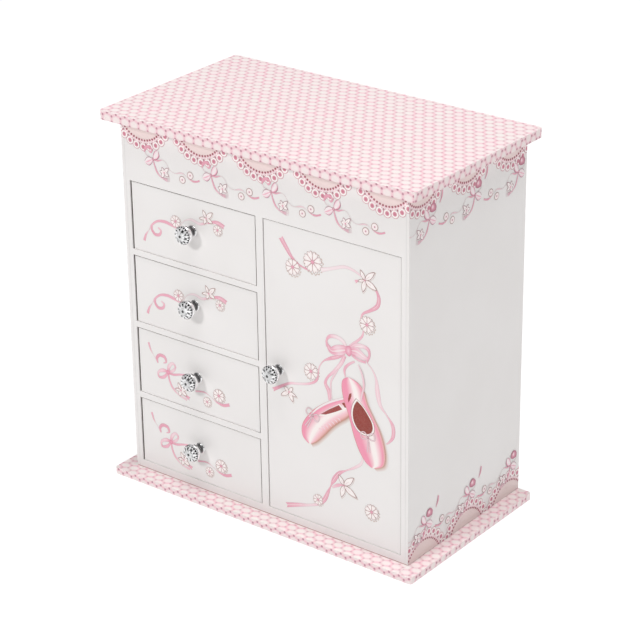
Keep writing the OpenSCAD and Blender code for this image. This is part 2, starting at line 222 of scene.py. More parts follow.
def paper(name, inside=False):
    """Satin paper on board. With inside, faces within the box wear the pink lining paper, and the board faces in the
    front gaps wear a painted shade.
    """
    m = Nodes(name, 0.42, Specular_IOR_Level=0.35)
    cloud = m.noise(18, 3)
    white = m.mix(m.ramp(cloud, 0.35, 0.65), rgb(0.928, 0.914, 0.909), rgb(0.936, 0.923, 0.919))
    fibre = m.noise(2600, 2)
    if inside:
        x, y, z = m.split(m.place())
        near = m.math("LESS_THAN", m.abs(x), (INNER_R + 0.05) * MM)
        deep = m.math("GREATER_THAN", y, (TRAY_FRONT - 0.05) * MM)
        shallow = m.math("LESS_THAN", y, (BACK_IN + 0.05) * MM)
        above = m.math("GREATER_THAN", z, (FLOOR - 0.05) * MM)
        mask = m.mul(m.mul(near, deep), m.mul(shallow, above))
        tint = m.mix(m.ramp(m.noise(60, 2), 0.3, 0.7), rgb(0.95, 0.80, 0.85), rgb(0.97, 0.84, 0.88))
        white = m.mix(mask, white, tint)
        # The board edges in the gaps round the openings and the door and drawer fronts are coloured dark brown:
        # painted shade in the gaps.
        ny = m.abs(m.split(m.node("ShaderNodeTexCoord", out="Normal"))[1])
        edge = m.mul(m.math("LESS_THAN", ny, 0.5), m.sub(1.0, deep))
        edge = m.mul(edge, m.math("GREATER_THAN", y, (FRONT + 0.9) * MM))
        edge = m.mul(m.mul(edge, near), m.math("LESS_THAN", z, (RIM - 1) * MM))
        white = m.mix(edge, white, m.mix(m.ramp(m.noise(700, 3), 0.35, 0.65), rgb(0.36, 0.29, 0.25),
                                         rgb(0.44, 0.36, 0.31)))
    m.put("Base Color", m.mix(m.ramp(fibre, 0.25, 0.75, 0, 0.25), white, rgb(0.93, 0.92, 0.905)))
    m.put("Roughness", m.ramp(m.noise(90, 2), 0.3, 0.7, 0.38, 0.50))
    m.bump(fibre, 0.00002, 0.35)
    return m.mat


def woven_paper():
    """Printed honeycomb weave: staggered six-sided cells, pink seams and a rose dot at each junction."""
    pitch, row = 7.28, 5.27
    m = Nodes("woven_paper", 0.45, Specular_IOR_Level=0.35)
    x, y, z = (m.math("DIVIDE", c, MM) for c in m.split(m.place()))
    nx, _, nz = (m.abs(c) for c in m.split(m.node("ShaderNodeTexCoord", out="Normal")))
    on_side = m.math("GREATER_THAN", nx, 0.7)
    on_top = m.math("GREATER_THAN", nz, 0.7)
    on_lid = m.math("GREATER_THAN", z, (RIM + BOTTOM) / 2)
    past_right = m.math("GREATER_THAN", x, RIGHT)

    def choose(mask, yes, no):
        return m.add(no, m.mul(mask, m.sub(yes, no)))

    depth = m.sub(choose(on_lid, LID[1][2], BASE[1][2]), z)
    along = m.add(x, choose(on_lid, 0.45, choose(past_right, 0.59, -1.81)))
    across = m.add(y, choose(on_lid, 0.77, choose(past_right, -1.14, 2.28)))
    wrapped = m.add(depth, LID[1][0])
    front_u = m.add(x, choose(on_lid, 2.46, 2.8))
    front_v = m.add(depth, choose(on_lid, -4.07, 0.75))
    u = choose(on_top, along, choose(on_side, wrapped, front_u))
    v = choose(on_top, across, choose(on_side, m.add(y, 0.77), front_v))
    line = m.math("DIVIDE", v, row)
    odd = m.math("FLOORED_MODULO", m.math("FLOOR", line), 2.0)
    up = m.math("FRACT", line)
    shifted = m.add(m.math("DIVIDE", u, pitch), m.mul(odd, 0.5))
    off = m.abs(m.sub(m.math("FRACT", m.add(shifted, 0.5)), 0.5))
    # The slanted seam runs from (1/2, 1/3) to (0, 2/3) of a cell; straight seams meet it at both ends.
    slant = m.sub(m.add(m.mul(off, 2.0), m.mul(up, 3.0)), 2.0)
    beyond = m.math("GREATER_THAN", slant, 0.0)
    straight = m.mul(choose(beyond, off, m.sub(0.5, off)), pitch)
    seam_at = m.math("MINIMUM", straight, m.mul(m.abs(slant), 1.58))

    def reach(du, dv):
        return m.math("SQRT", m.add(m.math("POWER", m.mul(du, pitch), 2.0),
                                     m.math("POWER", m.mul(dv, row), 2.0)))

    near = m.math("MINIMUM", reach(m.sub(0.5, off), m.sub(up, 1 / 3)),
                  reach(off, m.sub(up, 2 / 3)))
    # Upright faces of the lid and base take a darker copy of the weave, with darker cells and seams and stronger
    # dots: painted shade on the sides.
    edge = m.sub(1.0, on_top)
    cell = m.ramp(seam_at, 0.1, 1.7)
    spot = m.ramp(near, 1.15, 0.3)
    cream = m.ramp(m.noise(95, 1), 0.42, 0.58)
    body = m.mix(cream, rgb(0.985, 0.925, 0.925), rgb(0.975, 0.94, 0.93))
    seam = m.mix(m.ramp(m.noise(160, 1), 0.4, 0.6), rgb(0.97, 0.805, 0.84), rgb(0.95, 0.85, 0.86))
    seam = m.mix(edge, seam, rgb(0.945, 0.79, 0.82))
    body = m.mix(edge, body, rgb(0.955, 0.90, 0.895))
    colour = m.mix(cell, seam, body)
    dark = m.mix(edge, rgb(0.80, 0.61, 0.66), rgb(0.70, 0.46, 0.53))
    strength = m.mul(spot, m.add(0.62, m.mul(edge, 0.22)))
    m.put("Base Color", m.mix(strength, colour, dark))
    m.bump(m.add(m.mul(cell, 0.8), m.mul(m.noise(2400, 2), 0.25)), 0.00005, 0.35)
    return m.mat


def ink():
    """Printed artwork: each mark carries its own colour."""
    m = Nodes("printed_ink", 0.42, Specular_IOR_Level=0.25)
    colour = m.node("ShaderNodeAttribute", attribute_name="ink")
    grain = m.ramp(m.noise(1500, 2), 0.3, 0.7, 0.0, 0.05)
    m.put("Base Color", m.mix(grain, colour, rgb(0.93, 0.88, 0.88)))
    m.bump(m.noise(2600, 2), 0.00002, 0.3)
    return m.mat


def cloth(name, low, high, weave, sheen=0.3, roughness=0.8, depth=0.00008, coarse=40):
    """Woven or flocked cloth with a fine texture and slow colour change."""
    m = Nodes(name, roughness, Sheen_Weight=sheen, Sheen_Roughness=0.4)
    tone = m.mix(m.ramp(m.noise(coarse, 3), 0.3, 0.7), rgb(*low), rgb(*high))
    x, y, z = m.split(m.place())
    waves = [m.math("SINE", m.mul(c, weave)) for c in (x, y, z)]
    cross = m.add(m.mul(waves[0], waves[1]), m.mul(waves[2], waves[0]))
    thread = m.add(m.mul(cross, 0.3), m.noise(weave * 0.6, 2))
    m.put("Base Color", m.mix(m.ramp(thread, 0.1, 0.9, 0, 0.35), tone, rgb(*(c * 0.86 for c in low))))
    m.bump(thread, depth, 0.6)
    return m.mat


def metal(name, colour, roughness, brushed=0.0, axis=0):
    """Plated or polished metal with fine wear."""
    m = Nodes(name, roughness, 1.0)
    stretch = [40.0] * 3
    stretch[axis] = 2000.0 if brushed else 40.0
    where = m.node("ShaderNodeMapping", ins={"Vector": m.place(), "Scale": stretch})
    streak = m.noise(1.0, 4, 0.6, where)
    tarnish = m.noise(220, 3)
    m.put("Base Color", m.mix(m.ramp(tarnish, 0.35, 0.75, 0, 0.3), rgb(*colour), rgb(*(c * 0.82 for c in colour))))
    m.put("Roughness", m.ramp(streak, 0.3, 0.7, roughness * 0.8, roughness * 1.35))
    m.bump(streak, 0.00002, 0.10 + brushed)
    return m.mat


def plastic(name, colour, roughness=0.35):
    m = Nodes(name, roughness, Coat_Weight=0.25, Coat_Roughness=0.2)
    soft = m.noise(160, 3)
    m.put("Base Color", m.mix(m.ramp(soft, 0.3, 0.7), rgb(*colour), rgb(*(c * 0.95 for c in colour))))
    m.bump(m.noise(900, 2), 0.00002, 0.25)
    return m.mat


def toned(name, roughness, metallic, **inputs):
    """Bright metal or crystal with light and dark tones set on the mesh, in place of real reflections."""
    m = Nodes(name, roughness, metallic, **inputs)
    m.put("Base Color", m.mix(m.ramp(m.noise(700, 2), 0.3, 0.7, 0, 0.06),
                              m.node("ShaderNodeAttribute", attribute_name="ink"), rgb(0.7, 0.7, 0.72)))
    m.bump(m.noise(1200, 2), 0.00001, 0.15)
    return m.mat


def crystal():
    m = Nodes("cut_crystal", 0.02, Transmission_Weight=1.0, IOR=1.49)
    m.put("Base Color", m.mix(m.ramp(m.noise(300, 1), 0.4, 0.6), (1, 1, 1, 1), (0.96, 0.98, 1, 1)))
    m.bump(m.noise(500, 1), 0.00001, 0.05)
    return m.mat


def mirror_glass():
    m = Nodes("mirror_glass", 0.03, 1.0)
    m.put("Base Color", m.mix(m.ramp(m.noise(25, 2), 0.3, 0.7), rgb(0.93, 0.94, 0.95), rgb(0.90, 0.92, 0.93)))
    m.bump(m.noise(60, 2), 0.00001, 0.05)
    return m.mat


def net_cloth():
    """Stiff tulle: pale pink with a fine open mesh drawn in its colour."""
    m = Nodes("tulle", 0.6, Sheen_Weight=0.4, Transmission_Weight=0.15)
    hexes = m.node("ShaderNodeTexVoronoi", ins={"Vector": m.place(), "Scale": 1700.0}, feature="DISTANCE_TO_EDGE")
    line = m.ramp(hexes, 0.04, 0.12)
    m.put("Base Color", m.mix(line, rgb(0.99, 0.90, 0.94), rgb(0.965, 0.80, 0.87)))
    m.bump(hexes, 0.00006, 0.5)
    return m.mat


MAT = {
    "paper_white": paper("paper_white", inside=True),
    "paper_woven_pink": woven_paper(),
    "paper_lining": cloth("lining_paper", (0.95, 0.80, 0.85), (0.97, 0.84, 0.88), 2200, 0.05, 0.6, 0.00003),
    "velour": cloth("velour", (0.86, 0.52, 0.62), (0.91, 0.60, 0.69), 5200, 0.8, 0.95, 0.0001, 120),
    "satin": cloth("satin", (0.95, 0.74, 0.82), (0.98, 0.82, 0.88), 4200, 0.25, 0.38, 0.00003, 25),
    "tulle": net_cloth(),
    "steel": metal("steel", (0.80, 0.80, 0.81), 0.28, 0.15),
    "brass": metal("brass", (0.87, 0.72, 0.42), 0.25, 0.10, 1),
    "knob_chrome": metal("knob_chrome", (0.90, 0.90, 0.91), 0.10),
    "crystal": crystal(),
    "mirror_glass": mirror_glass(),
    "dancer_plastic": plastic("dancer_skin", (0.96, 0.80, 0.72)),
    "magnet_housing": plastic("magnet_housing", (0.94, 0.93, 0.90), 0.4),
}
FELT = cloth("white_felt", (0.90, 0.89, 0.87), (0.94, 0.93, 0.92), 3000, 0.5, 0.95, 0.0002, 90)
INK = ink()
CHROME = toned("knob_chrome_bright", 0.12, 0.85)
GEM = toned("cut_crystal_foiled", 0.06, 0.25, Coat_Weight=0.5, Coat_Roughness=0.03)


# ---- mesh helpers ----

def new_mesh(name, verts, faces, material, body, colours=None, smooth=False):
    """A piece from points in millimetres, riding on a body."""
    mesh = bpy.data.meshes.new(name)
    mesh.from_pydata([Vector(v) * MM for v in verts], [], faces)
    if colours:
        layer = mesh.color_attributes.new("ink", "FLOAT_COLOR", "POINT")
        layer.data.foreach_set("color", [c for col in colours for c in col])
    mesh.materials.append(material)
    mesh.validate()
    mesh.update()
    if smooth:
        mesh.shade_smooth()
    obj = bpy.data.objects.new(name, mesh)
    bpy.context.scene.collection.objects.link(obj)
    if body:
        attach(obj, body)
    return obj


def modify(obj, kind, **props):
    mod = obj.modifiers.new(kind.lower(), kind)
    for key, value in props.items():
        setattr(mod, key, value)
    return mod


def bevel(obj, width, segments=2, angle=35):
    modify(obj, "BEVEL", width=width * MM, segments=segments, limit_method="ANGLE",
           angle_limit=math.radians(angle), harden_normals=False)


def grid_faces(rows, columns, wrap=False):
    """Faces of a grid of points, row by row. With wrap, each row closes on itself."""
    faces = []
    for i in range(rows - 1):
        for j in range(columns if wrap else columns - 1):
            k = (j + 1) % columns
            faces.append((i * columns + j, i * columns + k, (i + 1) * columns + k, (i + 1) * columns + j))
    return faces


def caps(rings, sides):
    """The two end faces of a closed tube of rings."""
    return [tuple(range(sides - 1, -1, -1)), tuple(range((rings - 1) * sides, rings * sides))]


def lathe(profile, centre, axis, sides=48):
    """Points and faces of a turned shape. The profile is (radius, height) from one end to the other."""
    turn = Vector((0, 0, 1)).rotation_difference(Vector(axis))
    verts = []
    for r, h in profile:
        for k in range(sides):
            a = math.tau * k / sides
            verts.append(Vector(centre) + turn @ Vector((r * math.cos(a), r * math.sin(a), h)))
    return verts, grid_faces(len(profile), sides, wrap=True) + caps(len(profile), sides)


def spline(points, per=8):
    """A smooth curve through points of any size (Catmull-Rom)."""
    pts = [points[0]] + list(points) + [points[-1]]
    out = []
    for i in range(1, len(pts) - 2):
        for s in range(per):
            t = s / per
            out.append(tuple(
                0.5 * (2 * b + (c - a) * t + (2 * a - 5 * b + 4 * c - d) * t * t + (3 * b - a - 3 * c + d) * t ** 3)
                for a, b, c, d in zip(pts[i - 1], pts[i], pts[i + 1], pts[i + 2])))
    out.append(tuple(points[-1]))
    return out


def blend_colour(a, b, t):
    return tuple(x + (y - x) * t for x, y in zip(a, b))


# ---- printed artwork ----

WHITE = rgb(0.930, 0.916, 0.911)
PETAL = rgb(0.985, 0.965, 0.955)
PETAL_IN = rgb(0.965, 0.875, 0.88)
OUTLINE = rgb(0.68, 0.55, 0.54)
BLUSH = rgb(0.96, 0.915, 0.922)
LIGHT = rgb(0.955, 0.80, 0.845)
PINK = rgb(0.935, 0.675, 0.75)
ROSE = rgb(0.895, 0.56, 0.66)
DEEP = rgb(0.72, 0.43, 0.51)
SHADE = rgb(0.80, 0.67, 0.60)
SOLE = rgb(0.60, 0.25, 0.21)
LAYER = 0.03  # height of one layer of print, in millimetres
FRONT_REPEAT, SIDE_REPEAT = 46.1, 46.2  # one scallop of lace to the next


def cut_face(points, colours, limits):
    """Cuts a coloured polygon to the rectangle (u0, u1, v0, v1)."""
    for axis, limit, side in ((0, limits[0], 1), (0, limits[1], -1), (1, limits[2], 1), (1, limits[3], -1)):
        kept, tones = [], []
        for k, b in enumerate(points):
            a = points[k - 1]
            da, db = side * (a[axis] - limit), side * (b[axis] - limit)
            if (da < 0) != (db < 0):
                t = da / (da - db)
                kept.append(blend_colour(a, b, t))
                tones.append(blend_colour(colours[k - 1], colours[k], t))
            if db >= 0:
                kept.append(b)
                tones.append(colours[k])
        points, colours = kept, tones
    return points, colours


class Print:
    """Flat artwork on one face, drawn in millimetres: u to the right, v down from the rim."""

    def __init__(self, name, body, place, shift=(0, 0), width=None):
        self.name, self.body, self.place = name, body, place
        self.limits = (0.15, (width or RIGHT - LEFT) - 0.15, 0.2, RIM - BOTTOM - 0.2)
        self.verts, self.faces, self.colours = [], [], []
        self.marks = 0
        self.move(shift)

    def move(self, shift=(0, 0), flip=False, raised=0):
        """Draws what follows moved by shift, mirrored in u if flip is a number to mirror about."""
        self.shift, self.flip, self.raised = shift, flip, raised

    def add(self, points, faces, colours, layer, rise=None):
        """Each mark lies at its own height, so that no two faces share a plane."""
        self.marks += 1
        up = (layer + self.raised + 1) * LAYER + (self.marks % 11) * 0.0025
        moved = []
        for u, v in points:
            if self.flip is not False:
                u = 2 * self.flip - u
            moved.append((u + self.shift[0], v + self.shift[1]))
        lifts = [up + (rise[k] if rise else 0.0) for k in range(len(points))]
        u0, u1, v0, v1 = self.limits
        inside = [u0 <= u <= u1 and v0 <= v <= v1 for u, v in moved]
        index = {}
        for face in faces:
            if all(inside[k] for k in face):
                for k in face:
                    if k not in index:
                        index[k] = len(self.verts)
                        self.verts.append(self.place(*moved[k], lifts[k]))
                        self.colours.append(colours[k])
                self.faces.append(tuple(index[k] for k in face))
                continue
            cut, tones = cut_face([moved[k] + (lifts[k],) for k in face], [colours[k] for k in face], self.limits)
            if len(cut) > 2:
                first = len(self.verts)
                self.verts += [self.place(*c) for c in cut]
                self.colours += tones
                self.faces.append(tuple(range(first, first + len(cut))))

    def fan(self, centre, rim, inner, outer, layer):
        """A filled star-shaped outline about a centre, shaded from inner to outer."""
        count = len(rim)
        faces = [(count, k, (k + 1) % count) for k in range(count)]
        self.add(list(rim) + [centre], faces, [outer] * count + [inner], layer)

    def disc(self, centre, radius, colour, layer, rim=None, sides=20):
        ring = [(centre[0] + radius * math.cos(math.tau * k / sides),
                 centre[1] + radius * math.sin(math.tau * k / sides))
                for k in range(sides)]
        self.fan(centre, ring, colour, rim or colour, layer)

    def loft(self, edge_a, edge_b, stops, layer):
        """The band between two edges. stops are (share of the width, colour)."""
        points, colours = [], []
        for a, b in zip(edge_a, edge_b):
            for share, colour in stops:
                points.append((a[0] + (b[0] - a[0]) * share, a[1] + (b[1] - a[1]) * share))
                colours.append(colour)
        self.add(points, grid_faces(len(edge_a), len(stops)), colours, layer)

    def ribbon(self, knots, layer=1, fork=0.0, edge=None, line=0.17):
        """A ribbon through knots (u, v, width, tone), tone 0 pale to 1 rose, with darker edges."""
        path = spline(knots, 7)
        points, colours, rise = [], [], []
        for i, (u, v, width, tone) in enumerate(path):
            before, after = path[max(i - 1, 0)], path[min(i + 1, len(path) - 1)]
            du, dv = after[0] - before[0], after[1] - before[1]
            size = math.hypot(du, dv) or 1
            nu, nv = -dv / size, du / size
            half = max(width, 0.22) / 2
            rim_width = min(line, half * 0.7)
            tone = min(max(tone, 0), 1)
            fill = blend_colour(BLUSH, PINK, tone * 1.6) if tone < 0.6 else blend_colour(PINK, ROSE,
                    (tone - 0.6) * 2.2)
            rim = edge or blend_colour(OUTLINE, DEEP, tone * 0.7)
            rim = blend_colour(rim, fill, 0.30)
            glow = blend_colour(fill, BLUSH, 0.40)
            shine = blend_colour(fill, PETAL, 0.72 if width > 2.3 else 0.25)
            shares = ((-half, rim), (-half + rim_width, fill), (-0.45 * half, glow), (-0.2 * half, fill),
                      (0.12 * half, shine),
                      (0.42 * half, fill), (half - rim_width, glow), (half, rim))
            for off, colour in shares:
                notch = fork * width * (1 - abs(off) / half) if fork and i == len(path) - 1 else 0
                points.append((u + nu * off - du / size * notch, v + nv * off - dv / size * notch))
                colours.append(colour)
                rise.append(0.002 * i / len(path))
        self.add(points, grid_faces(len(path), 8), colours, layer, rise)

    def halo(self, rim, centre, layer=0, shift=(0.35, 0.45), grow=1.12, colour=SHADE):
        """The soft shadow of a shape, dark under it and gone at its edge."""
        moved = [(p[0] + shift[0], p[1] + shift[1]) for p in rim]
        mid = (centre[0] + shift[0], centre[1] + shift[1])
        wide = [(mid[0] + (p[0] - mid[0]) * grow, mid[1] + (p[1] - mid[1]) * grow) for p in moved]
        count = len(rim)
        faces = [(k, (k + 1) % count, count + (k + 1) % count, count + k) for k in range(count)]
        self.add(moved + wide, faces, [colour] * count + [WHITE] * count, layer)

    def primrose(self, u, v, radius, layer=3):
        """A round flower of eight heart-shaped petals."""

        def reach(w):
            return radius * (1 - 0.12 * math.exp(-(w / 0.24) ** 2) - 0.30 * (max(abs(w) - 0.62, 0) / 0.38) ** 1.4)

        rim = []
        for k in range(128):
            a = math.tau * k / 128
            w = (a / (math.pi / 4) % 1) * 2 - 1
            rim.append((u + reach(w) * math.cos(a), v + reach(w) * math.sin(a)))
        self.halo(rim, (u, v), 0, (radius * 0.10, radius * 0.11), 1.12, rgb(0.70, 0.52, 0.44))
        self.fan((u, v), rim, blend_colour(OUTLINE, PINK, 0.45), OUTLINE, layer)
        line = min(0.17, radius * 0.038)
        for k in range(8):
            mid = math.tau * (k + 0.5) / 8
            petal = []
            for s in range(17):
                w = -1 + s / 8
                out = reach(w) - line * 1.5
                a = mid + w * (math.pi / 8 - line / (radius * 0.8))
                petal.append((u + out * math.cos(a), v + out * math.sin(a)))
            for w in (0.9, -0.9):
                a = mid + w * math.pi / 8 * 0.42
                petal.append((u + radius * 0.2 * math.cos(a), v + radius * 0.2 * math.sin(a)))
            heart = (u + radius * 0.62 * math.cos(mid), v + radius * 0.62 * math.sin(mid))
            self.fan(heart, petal, PETAL, blend_colour(PETAL, PETAL_IN, 0.4), layer + 1)
        self.disc((u, v), radius * 0.15, blend_colour(ROSE, LIGHT, 0.2), layer + 2, PINK, 12)

    def daisy(self, u, v, radius, layer=3):
        """A small round flower: a ring, faint petals and a dark heart."""
        self.disc((u, v), radius, OUTLINE, layer, blend_colour(OUTLINE, WHITE, 0.1), 24)
        self.disc((u, v), radius - 0.42, PETAL, layer + 1, blend_colour(PETAL, PETAL_IN, 0.5), 24)
        for k in range(6):
            a = math.tau * k / 6
            self.disc((u + radius * 0.55 * math.cos(a), v + radius * 0.55 * math.sin(a)), 0.3, LIGHT, layer + 2,
                      PETAL, 8)
        self.disc((u, v), 0.75, rgb(0.66, 0.50, 0.53), layer + 3, LIGHT, 10)

    def lily(self, u, v, tips, layer=3, line=rgb(0.63, 0.46, 0.44)):
        """A flower of long pointed petals, each given by its tip and width."""

        def petal(du, dv, size, width, inset):
            rim = []
            for s in range(25):
                t = abs(1 - s / 12)
                side = 1 if s < 12 else -1
                along = 1 - t
                half = width / 2 * math.sin(math.pi * min(1, t ** 0.85)) ** 0.75 if 0 < along < 1 else 0
                half = max(half - inset, 0)
                out = size * (0.04 * (inset > 0) + (1 - 0.09 * (inset > 0)) * t)
                rim.append((u + du * out - dv * side * half, v + dv * out + du * side * half))
            return rim

        for tu, tv, width in tips:
            du, dv = tu - u, tv - v
            size = math.hypot(du, dv)
            du, dv = du / size, dv / size
            centre = (u + du * size * 0.5, v + dv * size * 0.5)
            shape = petal(du, dv, size, width + 0.2, 0)
            self.halo(shape, centre, 0, (0.4, 0.5), 1.12, rgb(0.76, 0.59, 0.52))
            self.fan(centre, shape, line, line, layer)
            self.fan(centre, petal(du, dv, size, width + 0.2, 0.27), PETAL, blend_colour(PETAL, PETAL_IN, 0.3),
                     layer + 1)
            self.ribbon([(u + du * size * t, v + dv * size * t, 0.2, 0.3) for t in (0.05, 0.25, 0.5)], layer + 2)
        self.disc((u, v), 0.5, ROSE, layer + 3, PINK, 10)

    def build(self):
        obj = new_mesh(self.name, self.verts, self.faces, INK, self.body, self.colours)
        modify(obj, "SOLIDIFY", thickness=LAYER * 0.6 * MM, offset=-1)
        return obj


def face_place(kind, depth):
    """Turns print coordinates and height off the surface into a point of the model."""
    if kind == "front":
        return lambda u, v, up: (LEFT + u, depth - up, RIM - v)
    if kind == "right":
        return lambda u, v, up: (RIGHT + up, FRONT + u, RIM - v)
    return lambda u, v, up: (LEFT - up, FRONT + u, RIM - v)


def lace(p, centre, rise=False):
    """One scallop of lace: pale middle, beaded line, net with ringed eyelets."""
    base = 247.4 if rise else -7.9
    sign = -1 if rise else 1
    step = math.radians(13.9)

    def at(radius, angle):
        return (centre + radius * math.sin(angle), base + sign * radius * math.cos(angle))

    def band(r0, r1, c0, c1, layer, reach):
        angles = [-reach + 2 * reach * k / 40 for k in range(41)]
        p.loft([at(r0, a) for a in angles], [at(r1, a) for a in angles], ((0, c0), (1, c1)), layer)

    # The pale middle is greyed towards beige: partly the print's own beige, partly painted shade from the lid's
    # overhang, used alike on every scallop.
    cream = rgb(0.92, 0.86, 0.84)
    net = rgb(0.965, 0.845, 0.865)
    ring = rgb(0.90, 0.66, 0.72)
    mark = rgb(0.63, 0.38, 0.43)
    band(7.0, 18.1, cream, blend_colour(cream, LIGHT, 0.2), 1, 1.15)
    band(18.1, 22.6, net, blend_colour(net, PETAL, 0.3), 1, 1.2)
    for k in range(-5, 6):
        a = math.radians(1.8) + k * step
        if 22.4 * math.cos(a) < 6.5:
            continue
        p.disc(at(22.4, a), 2.85, ring, 1, blend_colour(ring, OUTLINE, 0.4), 22)
        p.disc(at(22.4, a), 2.45, PETAL, 3, PETAL, 20)
        p.disc(at(22.4, a), 1.45, rgb(0.77, 0.43, 0.51), 4, rgb(0.87, 0.62, 0.68), 16)
        p.disc(at(19.6, a), 0.85, PETAL, 3, net, 10)
        mid = a + step / 2
        p.disc(at(20.5, mid), 0.75, mark, 3, blend_colour(mark, net, 0.4), 8)
        p.disc(at(23.4, mid), 0.55, blend_colour(mark, net, 0.4), 3, net, 8)
        for side in (-0.27, 0.27):
            q = mid + side * step
            p.ribbon([at(18.9, mid) + (0.35, 0.0), at(21.2, q) + (0.35, 0.0)], 3, edge=PETAL)
    count = 15
    for k in range(-count, count + 1):
        a = k * 2.2 / 18.1
        if abs(a) < 1.2:
            p.disc(at(18.1, a), 0.72, rgb(0.55, 0.25, 0.31), 5, rgb(0.72, 0.43, 0.48), 9)


def spray(p, side=False):
    """The bow, curl, lily, ribbons and two small flowers that repeat under the lace."""
    dark = rgb(0.62, 0.42, 0.48)
    grey = rgb(0.68, 0.60, 0.61)
    if side:
        p.ribbon([(12.8, 7.2, 1.1, 0.9), (13.4, 10.8, 1.2, 1), (15.4, 14.2, 0.5, 0.6)], 6, edge=dark)
        rose = [(19.2, 17.4), (18.8, 14.8), (20.4, 12.6), (22.8, 12.0), (25.0, 13.8), (25.2, 16.2), (22.8, 17.6)]
        p.fan((22.2, 14.8), spline(rose + rose[:1], 4), PINK, DEEP, 6)
        p.fan((22.6, 14.4), [(22.6 + 1.3 * math.cos(k), 14.4 + 1.6 * math.sin(k)) for k in range(6)], BLUSH, PINK, 7)
    else:
        p.ribbon([(18.9, 17.6, 0.5, 0.8), (19.3, 15.6, 1.5, 1), (20.6, 14.0, 2.3, 1), (22.4, 13.4, 1.6, 1),
                  (24.2, 13.9, 1.1, 1),
                  (24.9, 15.3, 1.2, 0.9), (23.8, 16.6, 1.2, 0.8), (22.4, 15.9, 0.7, 0.6)], 6)
    p.ribbon([(18.9, 17.4, 0.34, 0.2), (20.4, 19.2, 0.34, 0.2), (22.9, 19.9, 0.34, 0.3), (25.3, 20.6, 0.6, 0.6)], 5,
             edge=grey)
    white = rgb(0.975, 0.93, 0.935)
    stops = ((0, DEEP), (0.14, LIGHT), (0.32, white), (0.68, white), (0.84, PINK), (1, dark))
    p.loft(spline([(25.5, 20.4), (26.0, 17.4), (27.4, 15.0), (29.2, 14.5)]),
           spline([(25.9, 20.9), (29.2, 20.2), (30.8, 17.9), (30.2, 15.2)]),
           stops, 5)
    p.loft(spline([(25.3, 20.7), (22.4, 19.9), (20.2, 20.9), (18.6, 23.4)]),
           spline([(25.6, 21.4), (24.2, 24.2), (22.2, 25.6), (19.6, 25.0)]),
           ((0, dark), (0.13, white), (0.36, white), (0.5, PINK), (0.64, white), (0.87, LIGHT), (1, dark)), 5)
    p.disc((25.6, 20.8), 0.95, LIGHT, 7, DEEP, 12)
    p.ribbon([(25.9, 21.0, 1.0, 1), (29.0, 21.1, 1.1, 0.9), (31.4, 20.3, 0.8, 0.6), (33.6, 19.9, 0.36, 0.1),
              (35.8, 21.0, 0.34, 0.0), (37.7, 23.6, 0.34, 0.0), (40.2, 25.8, 0.34, 0.0), (43.4, 26.2, 0.5,
                      0.1), (46.4, 25.3, 0.9, 0.3),
              (49.2, 25.0, 0.8, 0.2), (51.6, 26.0, 0.36, 0.0), (54.6, 27.6, 0.6, 0.5), (57.6, 28.2, 1.2, 1), (60.2,
                      27.7, 1.1, 1),
              (62.4, 26.7, 1.1, 1)], 2, line=0.22)
    p.ribbon([(25.6, 21.4, 0.8, 0.7), (26.6, 24.8, 1.1, 0.8), (28.1, 28.2, 1.3, 0.8), (30.2, 30.4, 1.0, 0.5),
              (33.0, 31.6, 1.4, 0.4),
              (36.8, 32.0, 2.4, 0.5)], 2, 0.5, edge=dark, line=0.24)
    for v in (31.4, 32.2, 33.1):
        p.ribbon([(33.2, 31.4, 0.3, 0.4), (35.6, v - 0.2, 0.32, 0.5), (38.8, v - 0.7, 0.28, 0.1)], 4, edge=grey)
    p.lily(34.2, 27.8, [(37.8, 23.9, 2.5), (38.0, 29.4, 2.4), (31.8, 31.4, 2.4), (30.6, 27.4, 2.0),
                        (32.4, 24.4, 2.0)], 4, dark)
    p.daisy(48.7, 29.1, 2.45, 3)
    p.daisy(55.1, 24.9, 2.5, 3)


def front_band():
    p = Print("print_front_band", "box", face_place("front", FRONT))
    for k in range(5):
        lace(p, 17.1 + FRONT_REPEAT * k)
    for k in range(4):
        p.move((FRONT_REPEAT * k, 0))
        spray(p)
    p.build()


def side_bands(kind):
    """Lace and sprays along the top and the foot of a side panel."""
    p = Print(f"print_{kind}_bands", "box", face_place(kind, 0), width=BACK - FRONT)
    for k in range(-1, 3):
        lace(p, 12.6 + SIDE_REPEAT * k)
        lace(p, 15.6 + SIDE_REPEAT * k, rise=True)
    for knot_u, knot_v, raised in ((19.6, 20.6, 0), (18.6, 218.9, 4)):
        for k in range(4):
            p.move((knot_u + SIDE_REPEAT * k - 25.5, knot_v - 20.8), 25.5, raised)
            spray(p, side=True)
    p.build()


